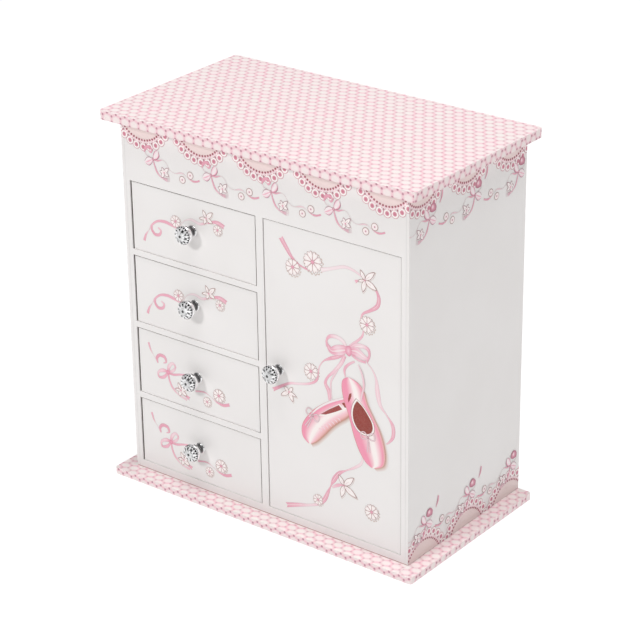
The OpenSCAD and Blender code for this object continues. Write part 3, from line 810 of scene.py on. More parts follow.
def drawer_upper(p):
    """Drawers 1 and 2: a curling ribbon with a lily and two primroses."""
    p.ribbon([(15, 77.6, 2.0, 0.9), (16.6, 73.2, 1.3, 0.7), (19.4, 69.3, 0.4, 0.2), (21.8, 65.6, 1.2, 0.6),
              (26.5, 62.0, 1.5, 0.8), (32.5, 60.9, 2.0, 0.9), (38, 61.7, 2.0, 0.8), (43.5, 62.8, 1.2, 0.4)], 1)
    p.ribbon([(22.0, 65.8, 1.2, 0.7), (21.7, 68.6, 1.7, 1), (24.2, 71.2, 2.0, 1), (27.8, 70.6, 1.9, 0.8),
              (29.2, 67.8, 1.4, 0.6), (26.8, 66.0, 0.8, 0.4)], 2)
    p.ribbon([(45.4, 60.4, 0.4, 0.1), (49, 56.2, 0.5, 0.1), (54.5, 54.3, 1.6, 0.1), (61, 55.5, 1.8, 0.2),
              (66.5, 53.4, 1.2, 0.7)], 1)
    p.ribbon([(67.5, 53.6, 0.8, 0.9), (71.5, 51.8, 1.8, 0.9), (76, 51.5, 2.6, 0.9), (80.6, 53.2, 2.8, 1)], 2, 0.3)
    p.primrose(41.5, 58.5, 4.1)
    p.primrose(75.1, 56.2, 3.5)
    p.lily(66.4, 50.6, [(63.8, 45.4, 2.2), (71.6, 45.6, 3.0), (71.6, 52.8, 2.6), (64.4, 54.8, 2.4),
                        (60.6, 51.8, 2.0)])


def drawer_lower(p):
    """Drawers 3 and 4: a curl and bow on the left, a lily, and a ribbon with two primroses."""
    p.ribbon([(14.4, 147.8, 1.6, 0.7), (15.9, 152.4, 1.1, 0.6), (18.2, 155.6, 0.4, 0.1), (21.5, 159.4, 0.7, 0.4)], 1)
    p.ribbon([(21.8, 160.2, 1.0, 0.7), (21.0, 157.2, 1.9, 1), (23.4, 154.4, 2.2, 1), (27.4, 154.6, 2.2, 0.9),
              (28.8, 157.6, 1.4, 0.8), (26.4, 159.0, 0.6, 0.5)], 3)
    p.ribbon([(30.2, 164.0, 1.6, 0.9), (31.2, 160.0, 2.6, 0.4), (34.2, 157.2, 1.8, 0.3), (36.4, 159.2, 1.2, 0.6),
              (34.2, 162.4, 2.0, 0.3), (30.6, 164.4, 1.6, 0.8)], 2)
    p.ribbon([(29.8, 164.2, 1.6, 1), (25.6, 164.4, 2.6, 0.5), (21.8, 166.8, 1.6, 0.4), (22.4, 170.0, 1.4, 0.8),
              (26.6, 168.8, 2.2, 0.6), (29.8, 165.0, 1.4, 0.9)], 2)
    p.disc((30.2, 164.6), 1.5, PINK, 5, ROSE, 12)
    p.ribbon([(30.6, 165.0, 1.4, 0.9), (35, 164.9, 1.6, 0.9), (40, 163.4, 1.3, 0.7), (46, 161.8, 0.8, 0.5)], 1)
    p.ribbon([(30.2, 165.6, 1.2, 0.8), (31.0, 170, 1.4, 0.8), (33.6, 174.8, 1.4, 0.6), (38.5, 178.2, 0.9, 0.3),
              (45.4, 179.8, 1.4, 0.5)], 1, 0.4)
    p.ribbon([(34.5, 175.2, 0.5, 0.3), (38, 173.8, 1.2, 0.7), (42.5, 176.4, 1.6, 0.8), (47.6, 178.4, 2.4, 0.8)], 1,
             0.4)
    p.ribbon([(52.5, 171.4, 1.2, 0.7), (60, 170.0, 0.9, 0.6), (65.5, 172.0, 0.4, 0.1), (70.5, 174.2, 1.1, 0.7),
              (75.5, 174.6, 2.0, 1), (80.4, 172.8, 2.0, 1)], 1, 0.2)
    p.lily(40.4, 174.4, [(38.0, 169.2, 2.2), (45.6, 170.6, 3.0), (45.4, 177.2, 2.6), (38.8, 178.8, 2.6),
                         (35.4, 174.6, 1.8)], 2)
    p.primrose(71.8, 169.0, 4.7)
    p.primrose(62.0, 176.0, 3.4)


def slippers(p):
    """Two satin ballet slippers, hung from the bow by their ribbons."""
    shine, pink, pale = rgb(0.985, 0.945, 0.935), rgb(0.95, 0.60, 0.70), rgb(0.965, 0.80, 0.83)
    warm, brown = rgb(0.93, 0.72, 0.72), rgb(0.80, 0.56, 0.50)
    piping = rgb(0.985, 0.955, 0.94)

    def body(side_a, side_b, stops, layer):
        p.loft(spline(side_a), spline(side_b), stops, layer)

    def cast(side, reach, layer, tone=SHADE):
        """A soft shadow beyond one side of a slipper."""
        near = spline(side)
        far = [(a[0] + reach[0], a[1] + reach[1]) for a in near]
        p.loft(near, far, ((0, tone), (0.35, blend_colour(tone, WHITE, 0.45)), (1, WHITE)), layer)

    lower_l = [(145.0, 180.2), (149.6, 177.2), (155.5, 171.0), (161.0, 164.5), (166.5, 159.2), (172.0, 154.8),
               (176.0, 150.4)]
    upper_l = [(143.0, 180.4), (138.6, 176.6), (138.2, 169.4), (142.4, 161.8), (148.6, 154.8), (158.5, 147.2),
               (171.0, 140.6)]
    cast(lower_l, (1.6, 2.2), 0, rgb(0.77, 0.58, 0.50))
    body(upper_l, lower_l, ((0, brown), (0.03, pink), (0.16, pink), (0.34, pale), (0.50, shine), (0.62, shine),
                            (0.76, pale), (0.9, warm), (1, brown)), 4)
    for k in range(7):
        t = 0.22 + 0.085 * k
        u, v = 141.6 + 27 * t + 6, 181.0 - 22.6 * t - 6.4
        p.ribbon([(u - 2.6, v - 2.2, 0.3, 0.3), (u - 0.6, v - 1.4, 0.9, 0.2), (u + 0.5, v - 0.2, 0.3, 0.5)], 5,
                 edge=warm)
    p.ribbon([(143.6, 162.2, 0.5, 0.1), (150.4, 154.4, 1.3, 0.0), (160.0, 147.2, 1.5, 0.0),
              (171.6, 141.0, 1.3, 0.0)], 5, edge=OUTLINE)
    opening = [(152.6, 157.6), (158.8, 152.6), (166.6, 147.2), (169.2, 149.4), (163.0, 153.2), (156.6, 156.6)]
    p.fan((163.5, 151.4), [(163.5 + (a[0] - 163.5) * 1.14, 151.4 + (a[1] - 151.4) * 1.22) for a in opening], piping,
          piping, 5)
    p.fan((163.5, 151.4), opening, SOLE, blend_colour(SOLE, DEEP, 0.2), 6)
    p.fan((171.2, 146.4), [(168.8, 145.2), (170.6, 144.4), (173.0, 147.2), (171.0, 147.6)], SOLE, SOLE, 6)
    p.ribbon([(160.5, 152.2, 1.6, 0.1), (168.5, 147.2, 1.6, 0.2)], 3, edge=OUTLINE)

    left_r = [(173.2, 126.8), (169.6, 129.6), (168.9, 135.5), (170.6, 143.5), (173.6, 151.0), (175.8, 158.5),
              (178.4, 166.5),
              (182.2, 174.4), (186.6, 179.8), (190.6, 182.0)]
    right_r = [(175.0, 126.6), (181.0, 128.2), (185.4, 132.6), (188.0, 140.2), (192.4, 147.6), (196.8, 155.0),
               (199.8, 163.0),
               (201.2, 171.4), (199.6, 178.4), (193.0, 182.0)]
    cast(right_r[2:], (2.4, 1.6), 3, rgb(0.80, 0.62, 0.55))
    body(left_r, right_r, ((0, brown), (0.03, pink), (0.24, pink), (0.42, pale), (0.52, shine), (0.66, shine),
                           (0.78, pale),
                           (0.90, pink), (0.97, warm), (1, brown)), 7)
    hole = [(180.3, 140.4), (178.0, 144.6), (177.1, 150.0), (178.2, 155.2), (181.2, 159.2), (185.6, 160.6),
            (189.8, 159.4),
            (191.8, 156.2), (191.2, 151.8), (187.8, 146.8), (184.0, 142.8)]
    mid = (184.4, 151.2)
    p.fan(mid, [(mid[0] + (a[0] - mid[0]) * 1.20, mid[1] + (a[1] - mid[1]) * 1.15) for a in spline(hole + hole[:1],
            4)], piping,
          OUTLINE, 8)
    p.fan(mid, [(mid[0] + (a[0] - mid[0]) * 1.15, mid[1] + (a[1] - mid[1]) * 1.11) for a in spline(hole + hole[:1],
            4)], piping,
          piping, 9)
    p.fan(mid, spline(hole + hole[:1], 4), SOLE, blend_colour(SOLE, rgb(0.5, 0.2, 0.16), 0.4), 10)
    slot = [(176.2, 136.4), (174.6, 137.4), (173.6, 141.0), (173.9, 143.4), (175.0, 141.4), (176.2, 138.4)]
    p.fan((174.9, 139.4), slot, SOLE, SOLE, 8)
    tie = rgb(0.66, 0.43, 0.47)
    for u, v, a, layer in ((146.4, 160.4, 0.45, 8), (188.4, 162.4, -0.1, 11)):
        turn = lambda x, y: (u + x * math.cos(a) - y * math.sin(a), v + x * math.sin(a) + y * math.cos(a))
        for side in (-1, 1):
            loop = [(0, 0), (2.2 * side, -3.0), (4.9 * side, -2.4), (5.0 * side, 0.8), (2.6 * side, 1.4), (0, 0.2)]
            p.ribbon([turn(*q) + (0.85, 0.2) for q in loop], layer, edge=tie, line=0.3)
            p.ribbon([turn(0, 0) + (0.7, 0.3), turn(0.5 * side, 4) + (0.8, 0.3),
                      turn(0.9 * side - 0.6, 10) + (0.9, 0.3)], layer,
                     edge=tie, line=0.3)
        p.disc((u, v), 0.9, LIGHT, layer + 1, tie, 10)


def door_print(p):
    """The door's garland: ribbons, flowers, the large bow and the slippers."""
    p.ribbon([(124.2, 48.6, 3.2, 1), (128.2, 54.0, 3.0, 1), (132.6, 59.6, 2.0, 1), (138.4, 63.2, 1.0, 0.9),
              (145.0, 64.4, 1.4, 0.9), (149.5, 62.0, 0.8, 0.8)][::-1], 1, 0.4)
    p.ribbon([(154.4, 62.2, 2.8, 0.1), (162.0, 59.4, 2.2, 0.1), (171.5, 56.0, 2.0, 0.15), (178.5, 56.6, 1.6, 0.2),
              (184.0, 58.8, 1.2, 0.2)], 1)
    p.ribbon([(185.2, 60.6, 0.6, 0.5), (182.0, 61.8, 1.0, 0.6), (179.2, 63.4, 2.2, 0.8)], 1, 0.5)
    p.ribbon([(193.8, 64.0, 1.0, 0.8), (196.3, 69.2, 2.4, 1), (195.2, 74.8, 2.8, 1), (190.0, 79.0, 2.0, 0.9),
              (184.8, 82.4, 1.4, 0.7), (182.9, 87.4, 0.7, 0.3)], 1)
    p.ribbon([(185.2, 92.6, 0.9, 0.4), (184.2, 97.0, 1.4, 0.6), (180.2, 101.4, 1.7, 0.5), (176.6, 104.6, 2.0, 0.4),
              (173.4, 108.2, 1.2, 0.5)], 1)
    p.lily(186.4, 60.6, [(183.0, 54.6, 2.6), (193.6, 53.8, 3.4), (195.2, 65.0, 3.6), (184.8, 68.6, 3.2),
                         (181.0, 62.4, 1.8)])
    p.primrose(133.1, 65.8, 5.5)
    p.primrose(148.1, 58.8, 7.0)
    p.primrose(187.8, 88.6, 5.5)
    p.ribbon([(187.4, 113.0, 0.6, 0.3), (191.6, 116.8, 0.9, 0.3), (194.4, 122.6, 1.8, 0.3), (195.4, 131.0, 3.4, 0.35),
              (197.4, 138.6, 2.4, 0.3), (202.2, 143.8, 1.0, 0.4), (206.4, 149.4, 2.4, 0.75), (206.6, 156.4, 2.4, 0.8),
              (203.4, 161.4, 1.2, 0.5), (200.2, 163.4, 0.6, 0.3)], 1)
    p.ribbon([(171.2, 113.2, 2.6, 0.8), (168.4, 119.2, 2.6, 0.4), (163.4, 125.6, 2.2, 0.4), (158.4, 131.0, 1.6, 0.7),
              (156.6, 135.8, 2.2, 0.8), (159.2, 140.4, 3.0, 0.8), (159.6, 146.4, 1.8, 0.5)], 2)
    p.ribbon([(166.4, 123.6, 0.8, 0.4), (163.2, 128.6, 1.4, 0.3), (160.8, 133.8, 1.2, 0.3), (160.8, 139.6, 1.0, 0.3),
              (161.4, 145.0, 0.8, 0.2)], 3)
    p.ribbon([(171.0, 112.0, 1.8, 0.9), (166.0, 115.4, 2.4, 0.9), (160.6, 118.0, 2.2, 0.9), (155.6, 121.0, 0.8, 0.6),
              (152.4, 125.4, 0.8, 0.4), (151.2, 130.2, 0.9, 0.6), (149.8, 135.6, 1.6, 0.8), (144.4, 139.4, 1.5, 0.5),
              (136.6, 141.8, 1.6, 0.2), (129.2, 143.6, 1.6, 0.5), (123.6, 146.8, 1.8, 1), (115.8, 151.8, 2.4,
                      1)], 1, 0.4)
    p.ribbon([(178.6, 115.0, 1.2, 0.4), (173.8, 118.4, 1.7, 0.6), (171.0, 122.6, 1.7, 0.7),
              (171.8, 127.6, 0.9, 0.3)], 2)
    p.ribbon([(181.2, 116.0, 0.7, 0.2), (184.2, 121.6, 1.4, 0.3), (185.5, 128.6, 1.5, 0.4), (184.2, 134.6, 1.3, 0.3),
              (183.2, 140.0, 1.0, 0.3)], 12)
    p.primrose(145.8, 130.8, 5.5)
    p.lily(128.6, 149.6, [(122.0, 153.6, 2.8), (131.6, 155.8, 2.8), (134.6, 151.6, 1.8), (131.4, 145.8, 2.4),
                          (124.4, 146.8, 2.4)])
    slippers(p)
    p.ribbon([(184.6, 175.0, 0.8, 0.2), (183.2, 181.6, 1.8, 0.15), (178.0, 186.2, 1.7, 0.3), (171.6, 190.2, 0.9, 0.5),
              (166.2, 193.8, 2.6, 1), (162.2, 199.6, 3.2, 1), (159.8, 204.6, 0.8, 0.8), (157.6, 209.6, 2.2, 0.9),
              (154.8, 215.6, 3.0, 0.9), (150.4, 220.2, 2.0, 0.4), (142.6, 223.6, 1.8, 0.2), (134.0, 226.2, 2.6, 0.6),
              (124.4, 229.4, 3.4, 1)], 1, 0.4)
    p.ribbon([(169.2, 200.8, 0.8, 0.6), (165.0, 202.4, 2.2, 0.6), (160.8, 205.2, 1.2, 0.3)], 1)
    p.lily(169.8, 201.0, [(165.8, 194.6, 3.0), (177.4, 193.4, 4.0), (179.8, 206.8, 3.8), (167.8, 209.8, 3.6)])
    p.primrose(149.8, 217.4, 3.9)
    p.primrose(190.8, 212.6, 5.3)
    # The large bow: two loops, each a back strand and a full front strand, and the knot.
    p.ribbon([(172.6, 108.6, 2.2, 0.4), (170.4, 104.4, 2.6, 0.15), (165.4, 102.6, 2.6, 0.2), (160.2, 103.6, 2.2, 0.6),
              (157.8, 107.0, 1.4, 0.7), (158.6, 110.6, 2.4, 0.8)], 3)
    p.ribbon([(158.4, 109.4, 1.6, 0.8), (161.4, 112.4, 4.6, 0.9), (166.2, 111.0, 6.6, 0.35), (170.6, 109.4, 5.6, 0.6),
              (174.0, 108.6, 3.2, 0.9)], 5)
    p.ribbon([(175.0, 107.8, 2.2, 0.7), (179.4, 104.8, 3.8, 0.4), (184.8, 103.4, 2.6, 0.25), (188.6, 104.6, 2.4, 0.8),
              (189.4, 108.4, 1.6, 0.7), (187.2, 112.4, 2.4, 0.9)], 3)
    p.ribbon([(188.6, 110.4, 1.4, 0.6), (184.8, 110.0, 4.4, 0.3), (180.4, 108.4, 6.4, 0.45), (176.6, 108.6, 4.8, 0.9),
              (174.4, 108.8, 3.0, 0.8)], 5)
    p.ribbon([(176.6, 111.4, 1.4, 0.8), (181.4, 113.2, 1.6, 0.5), (186.8, 113.2, 1.6, 0.8)], 3)
    knot = [(172.4, 106.8), (174.4, 105.8), (176.2, 107.0), (176.4, 110.4), (175.0, 112.6), (172.8, 111.8),
            (171.8, 109.4)]
    p.fan((174.2, 109.0), spline(knot + knot[:1], 4), LIGHT, ROSE, 7)


def edge_lines():
    """The wrapped edge of the side papers, a thin grey line down the front corners, and a dark line along the foot of
    the front: painted shade where the body meets the base.
    """
    p = Print("print_edge_lines", "box", face_place("front", FRONT))
    width = RIGHT - LEFT
    grey = rgb(0.86, 0.855, 0.85)
    # The dark line along the foot of the front, where the body meets the base, is painted shade.
    seam = rgb(0.72, 0.50, 0.48)
    p.loft([(0.3, 239.45), (width - 0.3, 239.45)], [(0.3, 239.8), (width - 0.3, 239.8)], ((0, seam), (1, seam)), 0)
    for u in (2.1, width - 2.1):
        p.loft([(u, 0.5), (u, 239.5)], [(u + 0.18, 0.5), (u + 0.18, 239.5)], ((0, grey), (1, grey)), 0)
    p.build()


def all_prints():
    front_band()
    side_bands("right")
    side_bands("left")
    edge_lines()
    pitch = (mm_box("drawer_1_front")[0][2] - mm_box("drawer_2_front")[0][2])
    for n in DRAWERS:
        face = mm_box(f"drawer_{n}_front")[0][1]
        p = Print(f"print_drawer_{n}", f"drawer_{n}", face_place("front", face), (-0.3, pitch * ((n - 1) % 2) - 0.2))
        (drawer_upper if n < 3 else drawer_lower)(p)
        p.build()
    p = Print("print_door", "door", face_place("front", mm_box("door_panel")[0][1]), (-0.55, -0.35))
    door_print(p)
    p.build()


# ---- knobs ----

def knob(name, body, mount_node, crystal_node):
    """A turned chrome foot with a cut crystal over silver foil."""
    low, high = mm_box(crystal_node)
    x, z = (low[0] + high[0]) / 2, (low[2] + high[2]) / 2
    face = low[1] + 12.0

    def at(radius, height, angle):
        """A point of the knob. The angle is counted from straight up, towards the right."""
        return Vector((x + radius * math.sin(angle), face - height, z + radius * math.cos(angle)))

    inside = mm_box(mount_node)[1][1] - face
    # Each outline point is (radius, height, tone). The tones are painted: bright reflection on the flange and bell,
    # and painted shade and dark reflection on the narrow neck.
    outline = [(1.5, -inside, 0.9), (1.5, -0.02, 0.9), (3.7, 0.0, 0.75), (3.7, 0.45, 0.95), (3.55, 0.7, 0.95),
               (3.1, 0.9, 0.5),
               (2.9, 1.3, 0.10), (2.75, 2.0, 0.05), (2.75, 2.7, 0.10), (3.0, 3.5, 0.55), (3.7, 4.4, 0.95), (4.5, 5.3,
                       0.97),
               (5.0, 6.1, 0.97), (5.6, 6.6, 0.97), (5.8, 7.2, 0.97), (5.8, 8.2, 0.97), (5.65, 8.6, 0.97), (5.3, 8.7,
                       0.97),
               (5.0, 8.6, 0.97), (4.95, 7.9, 0.9), (0.4, 7.85, 0.9)]
    sides = 64
    verts, faces, colours = [], [], []
    for r, h, tone in outline:
        for k in range(sides):
            a = math.tau * k / sides
            verts.append(at(r, h, a))
            # A dark spot high on the bell's upper right: a painted dark reflection.
            spot = abs((math.degrees(a) - 20 + 180) % 360 - 180) < 11 and 6.3 < h < 8.0
            t = 0.05 if spot else tone
            colours.append((t, t, t * 1.01, 1))
    faces = grid_faces(len(outline), sides, wrap=True)
    faces += caps(len(outline), sides)
    foot = new_mesh(f"{name}_foot", verts, faces, CHROME, body, colours, smooth=True)
    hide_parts(mount_node)
    # The crystal. Each facet has a light or dark tone of its own, in place of refraction.
    count = 20
    tones = random.Random(name)
    verts, faces, colours = [], [], []

    def facet(corners, tone):
        first = len(verts)
        verts.extend(at(*c) for c in corners)
        colours.extend([(tone, tone, tone * 1.01, 1)] * len(corners))
        faces.append(tuple(range(first, first + len(corners))))

    step = math.tau / count
    for k in range(count):
        a, b, mid = k * step, (k + 1) * step, (k + 0.5) * step
        bright = tones.uniform(0.85, 1.0)
        dull = tones.choice((0.0, 0.0, 0.02, 0.1))
        facet([(4.85, 8.65, a), (4.85, 8.65, b), (5.85, 9.2, b), (5.85, 9.2, a)], tones.choice((0.95, 0.3, 0.8)))
        facet([(5.85, 9.2, a), (5.85, 9.2, b), (5.9, 9.7, mid)], tones.choice((0.85, 0.5)))
        facet([(5.9, 9.7, mid - step), (5.85, 9.2, a), (5.9, 9.7, mid)], tones.choice((0.95, 0.35)))
        facet([(5.9, 9.7, mid), (4.9, 10.9, a), (4.9, 10.9, b)], bright)
        facet([(5.9, 9.7, mid - step), (4.9, 10.9, a), (5.9, 9.7, mid)], dull)
        facet([(4.9, 10.9, a), (4.9, 10.9, b), (3.3, 11.55, mid)], dull if k % 2 else bright)
        facet([(3.3, 11.55, mid - step), (4.9, 10.9, a), (3.3, 11.55, mid)], tones.choice((0.1, 0.6, 0.95)))
        facet([(3.3, 11.55, mid - step), (3.3, 11.55, mid), (1.9, 11.95, a)], tones.choice((0.3, 0.6, 0.95)))
        facet([(1.9, 11.95, a), (3.3, 11.55, mid), (1.9, 11.95, b)], tones.choice((0.6, 0.7, 0.85)))
        facet([(1.9, 11.95, a), (1.9, 11.95, b), (0.95, 12.0, mid)], tones.choice((0.62, 0.7)))
        facet([(0.95, 12.0, mid - step), (1.9, 11.95, a), (0.95, 12.0, mid)], tones.choice((0.62, 0.7)))
    facet([(0.95, 12.0, (k + 0.5) * step) for k in range(count)], 0.03)
    facet([(4.85, 8.65, k * step) for k in range(count - 1, -1, -1)], 0.5)
    gem = new_mesh(f"{name}_crystal", verts, faces, GEM, body, colours)
    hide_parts(crystal_node)
    # Screw head on the back of the board.
    back_y = face + inside
    verts, faces = lathe([(3.4, 0.0), (3.4, 0.5), (2.6, 1.1), (1.2, 1.35), (0.9, 0.9), (0.2, 0.9)], (x, back_y, z),
                         (0, 1, 0), 32)
    new_mesh(f"{name}_screw", verts, faces, MAT["steel"], body, smooth=False)


def all_knobs():
    for n in DRAWERS:
        knob(f"knob_{n}", f"drawer_{n}", f"drawer_{n}_knob_mount", f"drawer_{n}_knob_crystal")
    knob("knob_door", "door", "door_knob_mount", "door_knob_crystal")


# ---- soft parts ----

def pad(name, low, high, material, body, crown=0.0, steps=(24, 24)):
    """A thin covered board or pad with soft edges, a little fuller in the middle."""
    nx, ny = steps
    verts = []
    for i in range(nx + 1):
        for j in range(ny + 1):
            s, t = i / nx, j / ny
            edge = min(s, 1 - s, t, 1 - t)
            soft = min(edge * min(nx, ny) / 1.0, 1.0) ** 0.5
            rise = crown * (math.sin(math.pi * s) * math.sin(math.pi * t)) ** 0.5
            verts.append((low[0] + (high[0] - low[0]) * s, low[1] + (high[1] - low[1]) * t,
                          low[2] + (high[2] - low[2] - crown) * soft + rise))
    top = len(verts)
    faces = grid_faces(nx + 1, ny + 1)
    loop = [i * (ny + 1) for i in range(nx + 1)] + [nx * (ny + 1) + j for j in range(1, ny + 1)]
    loop += [i * (ny + 1) + ny for i in range(nx - 1, -1, -1)] + [j for j in range(ny - 1, 0, -1)]
    verts += [(verts[k][0], verts[k][1], low[2] - 0.001) for k in loop]
    count = len(loop)
    faces += [(loop[k], loop[(k + 1) % count], top + (k + 1) % count, top + k) for k in range(count)]
    faces.append(tuple(top + k for k in range(count)))
    return new_mesh(name, verts, faces, material, body)


def ring_rolls():
    """Four stuffed satin rolls on a card, each with gathered ends and slack wrinkles."""
    low, high = mm_box("ring_rolls")
    radius = 6.5
    first = None
    for i in range(4):
        y = low[1] + radius + i * 13.2
        stations, sides = 90, 40
        verts = []
        for a in range(stations + 1):
            s = a / stations
            x = low[0] + 0.2 + (high[0] - low[0] - 0.4) * s
            end = min(s, 1 - s) * stations / 4
            full = (1 - (1 - min(end, 1)) ** 2) ** 0.5 if end < 1 else 1.0
            full = max(full, 0.12)
            for b in range(sides):
                t = math.tau * b / sides
                wrinkle = 0.16 * math.sin(17 * s + 3 * math.sin(t + i)) * math.sin(2 * t + 9 * s + i * 2)
                wrinkle += 0.10 * math.sin(61 * s + 2.3 * t + i * 5) * max(0, 1 - end * 0.15)
                r = (radius - 0.32 + wrinkle) * full
                z = low[2] + radius + 1 + r * math.sin(t) * 0.985
                verts.append((x, y + r * math.cos(t), max(z, low[2] + 0.6)))
        faces = grid_faces(stations + 1, sides, wrap=True)
        faces += caps(stations + 1, sides)
        roll = new_mesh(f"ring_roll_{i + 1}", verts, faces, MAT["satin"], "box", smooth=True)
        first = first or roll
    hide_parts("ring_rolls")
    pad("ring_roll_card", (low[0], low[1], low[2]), (high[0], high[1], low[2] + 1.2), MAT["velour"], "box")


def pouch():
    """The gathered satin pocket on the cupboard's back wall."""
    low, high = mm_box("necklace_pouch")
    cols, rows = 150, 30
    verts = []
    for j in range(rows + 1):
        t = j / rows
        for i in range(cols + 1):
            s = i / cols
            edge = min(1.0, min(s, 1 - s) * 9)
            belly = 0.62 + 0.38 * math.sin(math.pi * min(1, 0.25 + 0.75 * (1 - t)))
            pleat = (0.5 + 0.5 * t) * 0.9 * math.sin(math.tau * 21 * s + 0.6 * math.sin(7 * t + 4 * s))
            fine = 0.25 * math.sin(math.tau * 47 * s + 3 * t)
            depth = (13.6 * belly * edge ** 0.5 + (pleat + fine) * edge) * (0.25 + 0.75 * min(1, t * 5))
            verts.append((low[0] + 0.4 + (high[0] - low[0] - 0.8) * s, high[1] - 0.4 - max(depth, 0.1),
                          low[2] + 0.6 + (high[2] - low[2] - 3.0) * t))
    faces = grid_faces(rows + 1, cols + 1)
    bag = new_mesh("pouch_cloth", verts, faces, MAT["satin"], "box", smooth=True)
    modify(bag, "SOLIDIFY", thickness=0.25 * MM, offset=0)
    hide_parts("necklace_pouch")
    top = verts[-(cols + 1):]
    ring = []
    for i, (x, y, z) in enumerate(top):
        for k in range(8):
            a = math.tau * k / 8
            ring.append((x, y + 0.75 * math.cos(a), z + 0.4 + 1.1 * math.sin(a)))
    faces = grid_faces(cols + 1, 8, wrap=True)
    faces += caps(cols + 1, 8)
    hem = new_mesh("pouch_hem", ring, faces, MAT["satin"], "box", smooth=True)


def tray_linings():
    for n in DRAWERS:
        low, high = mm_box(f"drawer_{n}_tray")
        wall = 2.8
        lining = pad(f"drawer_{n}_lining", (low[0] + wall + 0.2, low[1] + wall + 0.2, low[2] + wall + 0.05),
                     (high[0] - wall - 0.2,
                      high[1] - wall - 0.2, low[2] + wall + 1.9), MAT["velour"], f"drawer_{n}", 0.4)


# ---- the dancer ----

def folded(point):
    """A point of the standing dancer, feet down, in her folded place, in millimetres."""
    x, y, z = point
    return (FOLD[0] + x, FOLD[1] - z, FOLD[2] + y)


def tube(path, sides=20):
    """Points and faces of a closed limb. path holds (x, y, z, half width, half depth)."""
    verts = []
    for i, (x, y, z, a, b) in enumerate(path):
        before, after = Vector(path[max(i - 1, 0)][:3]), Vector(path[min(i + 1, len(path) - 1)][:3])
        along = (after - before).normalized()
        side = along.cross(Vector((0, 1, 0))).normalized()
        front = side.cross(along).normalized()
        for k in range(sides):
            t = math.tau * k / sides
            verts.append(folded(Vector((x, y, z)) + side * (a * math.cos(t)) + front * (b * math.sin(t))))
    faces = grid_faces(len(path), sides, wrap=True)
    faces += caps(len(path), sides)
    return verts, faces


def body_part(name, knots, material, sides=20, per=5):
    verts, faces = tube(spline(knots, per), sides)
    return new_mesh(name, verts, faces, material, "dancer", smooth=True)


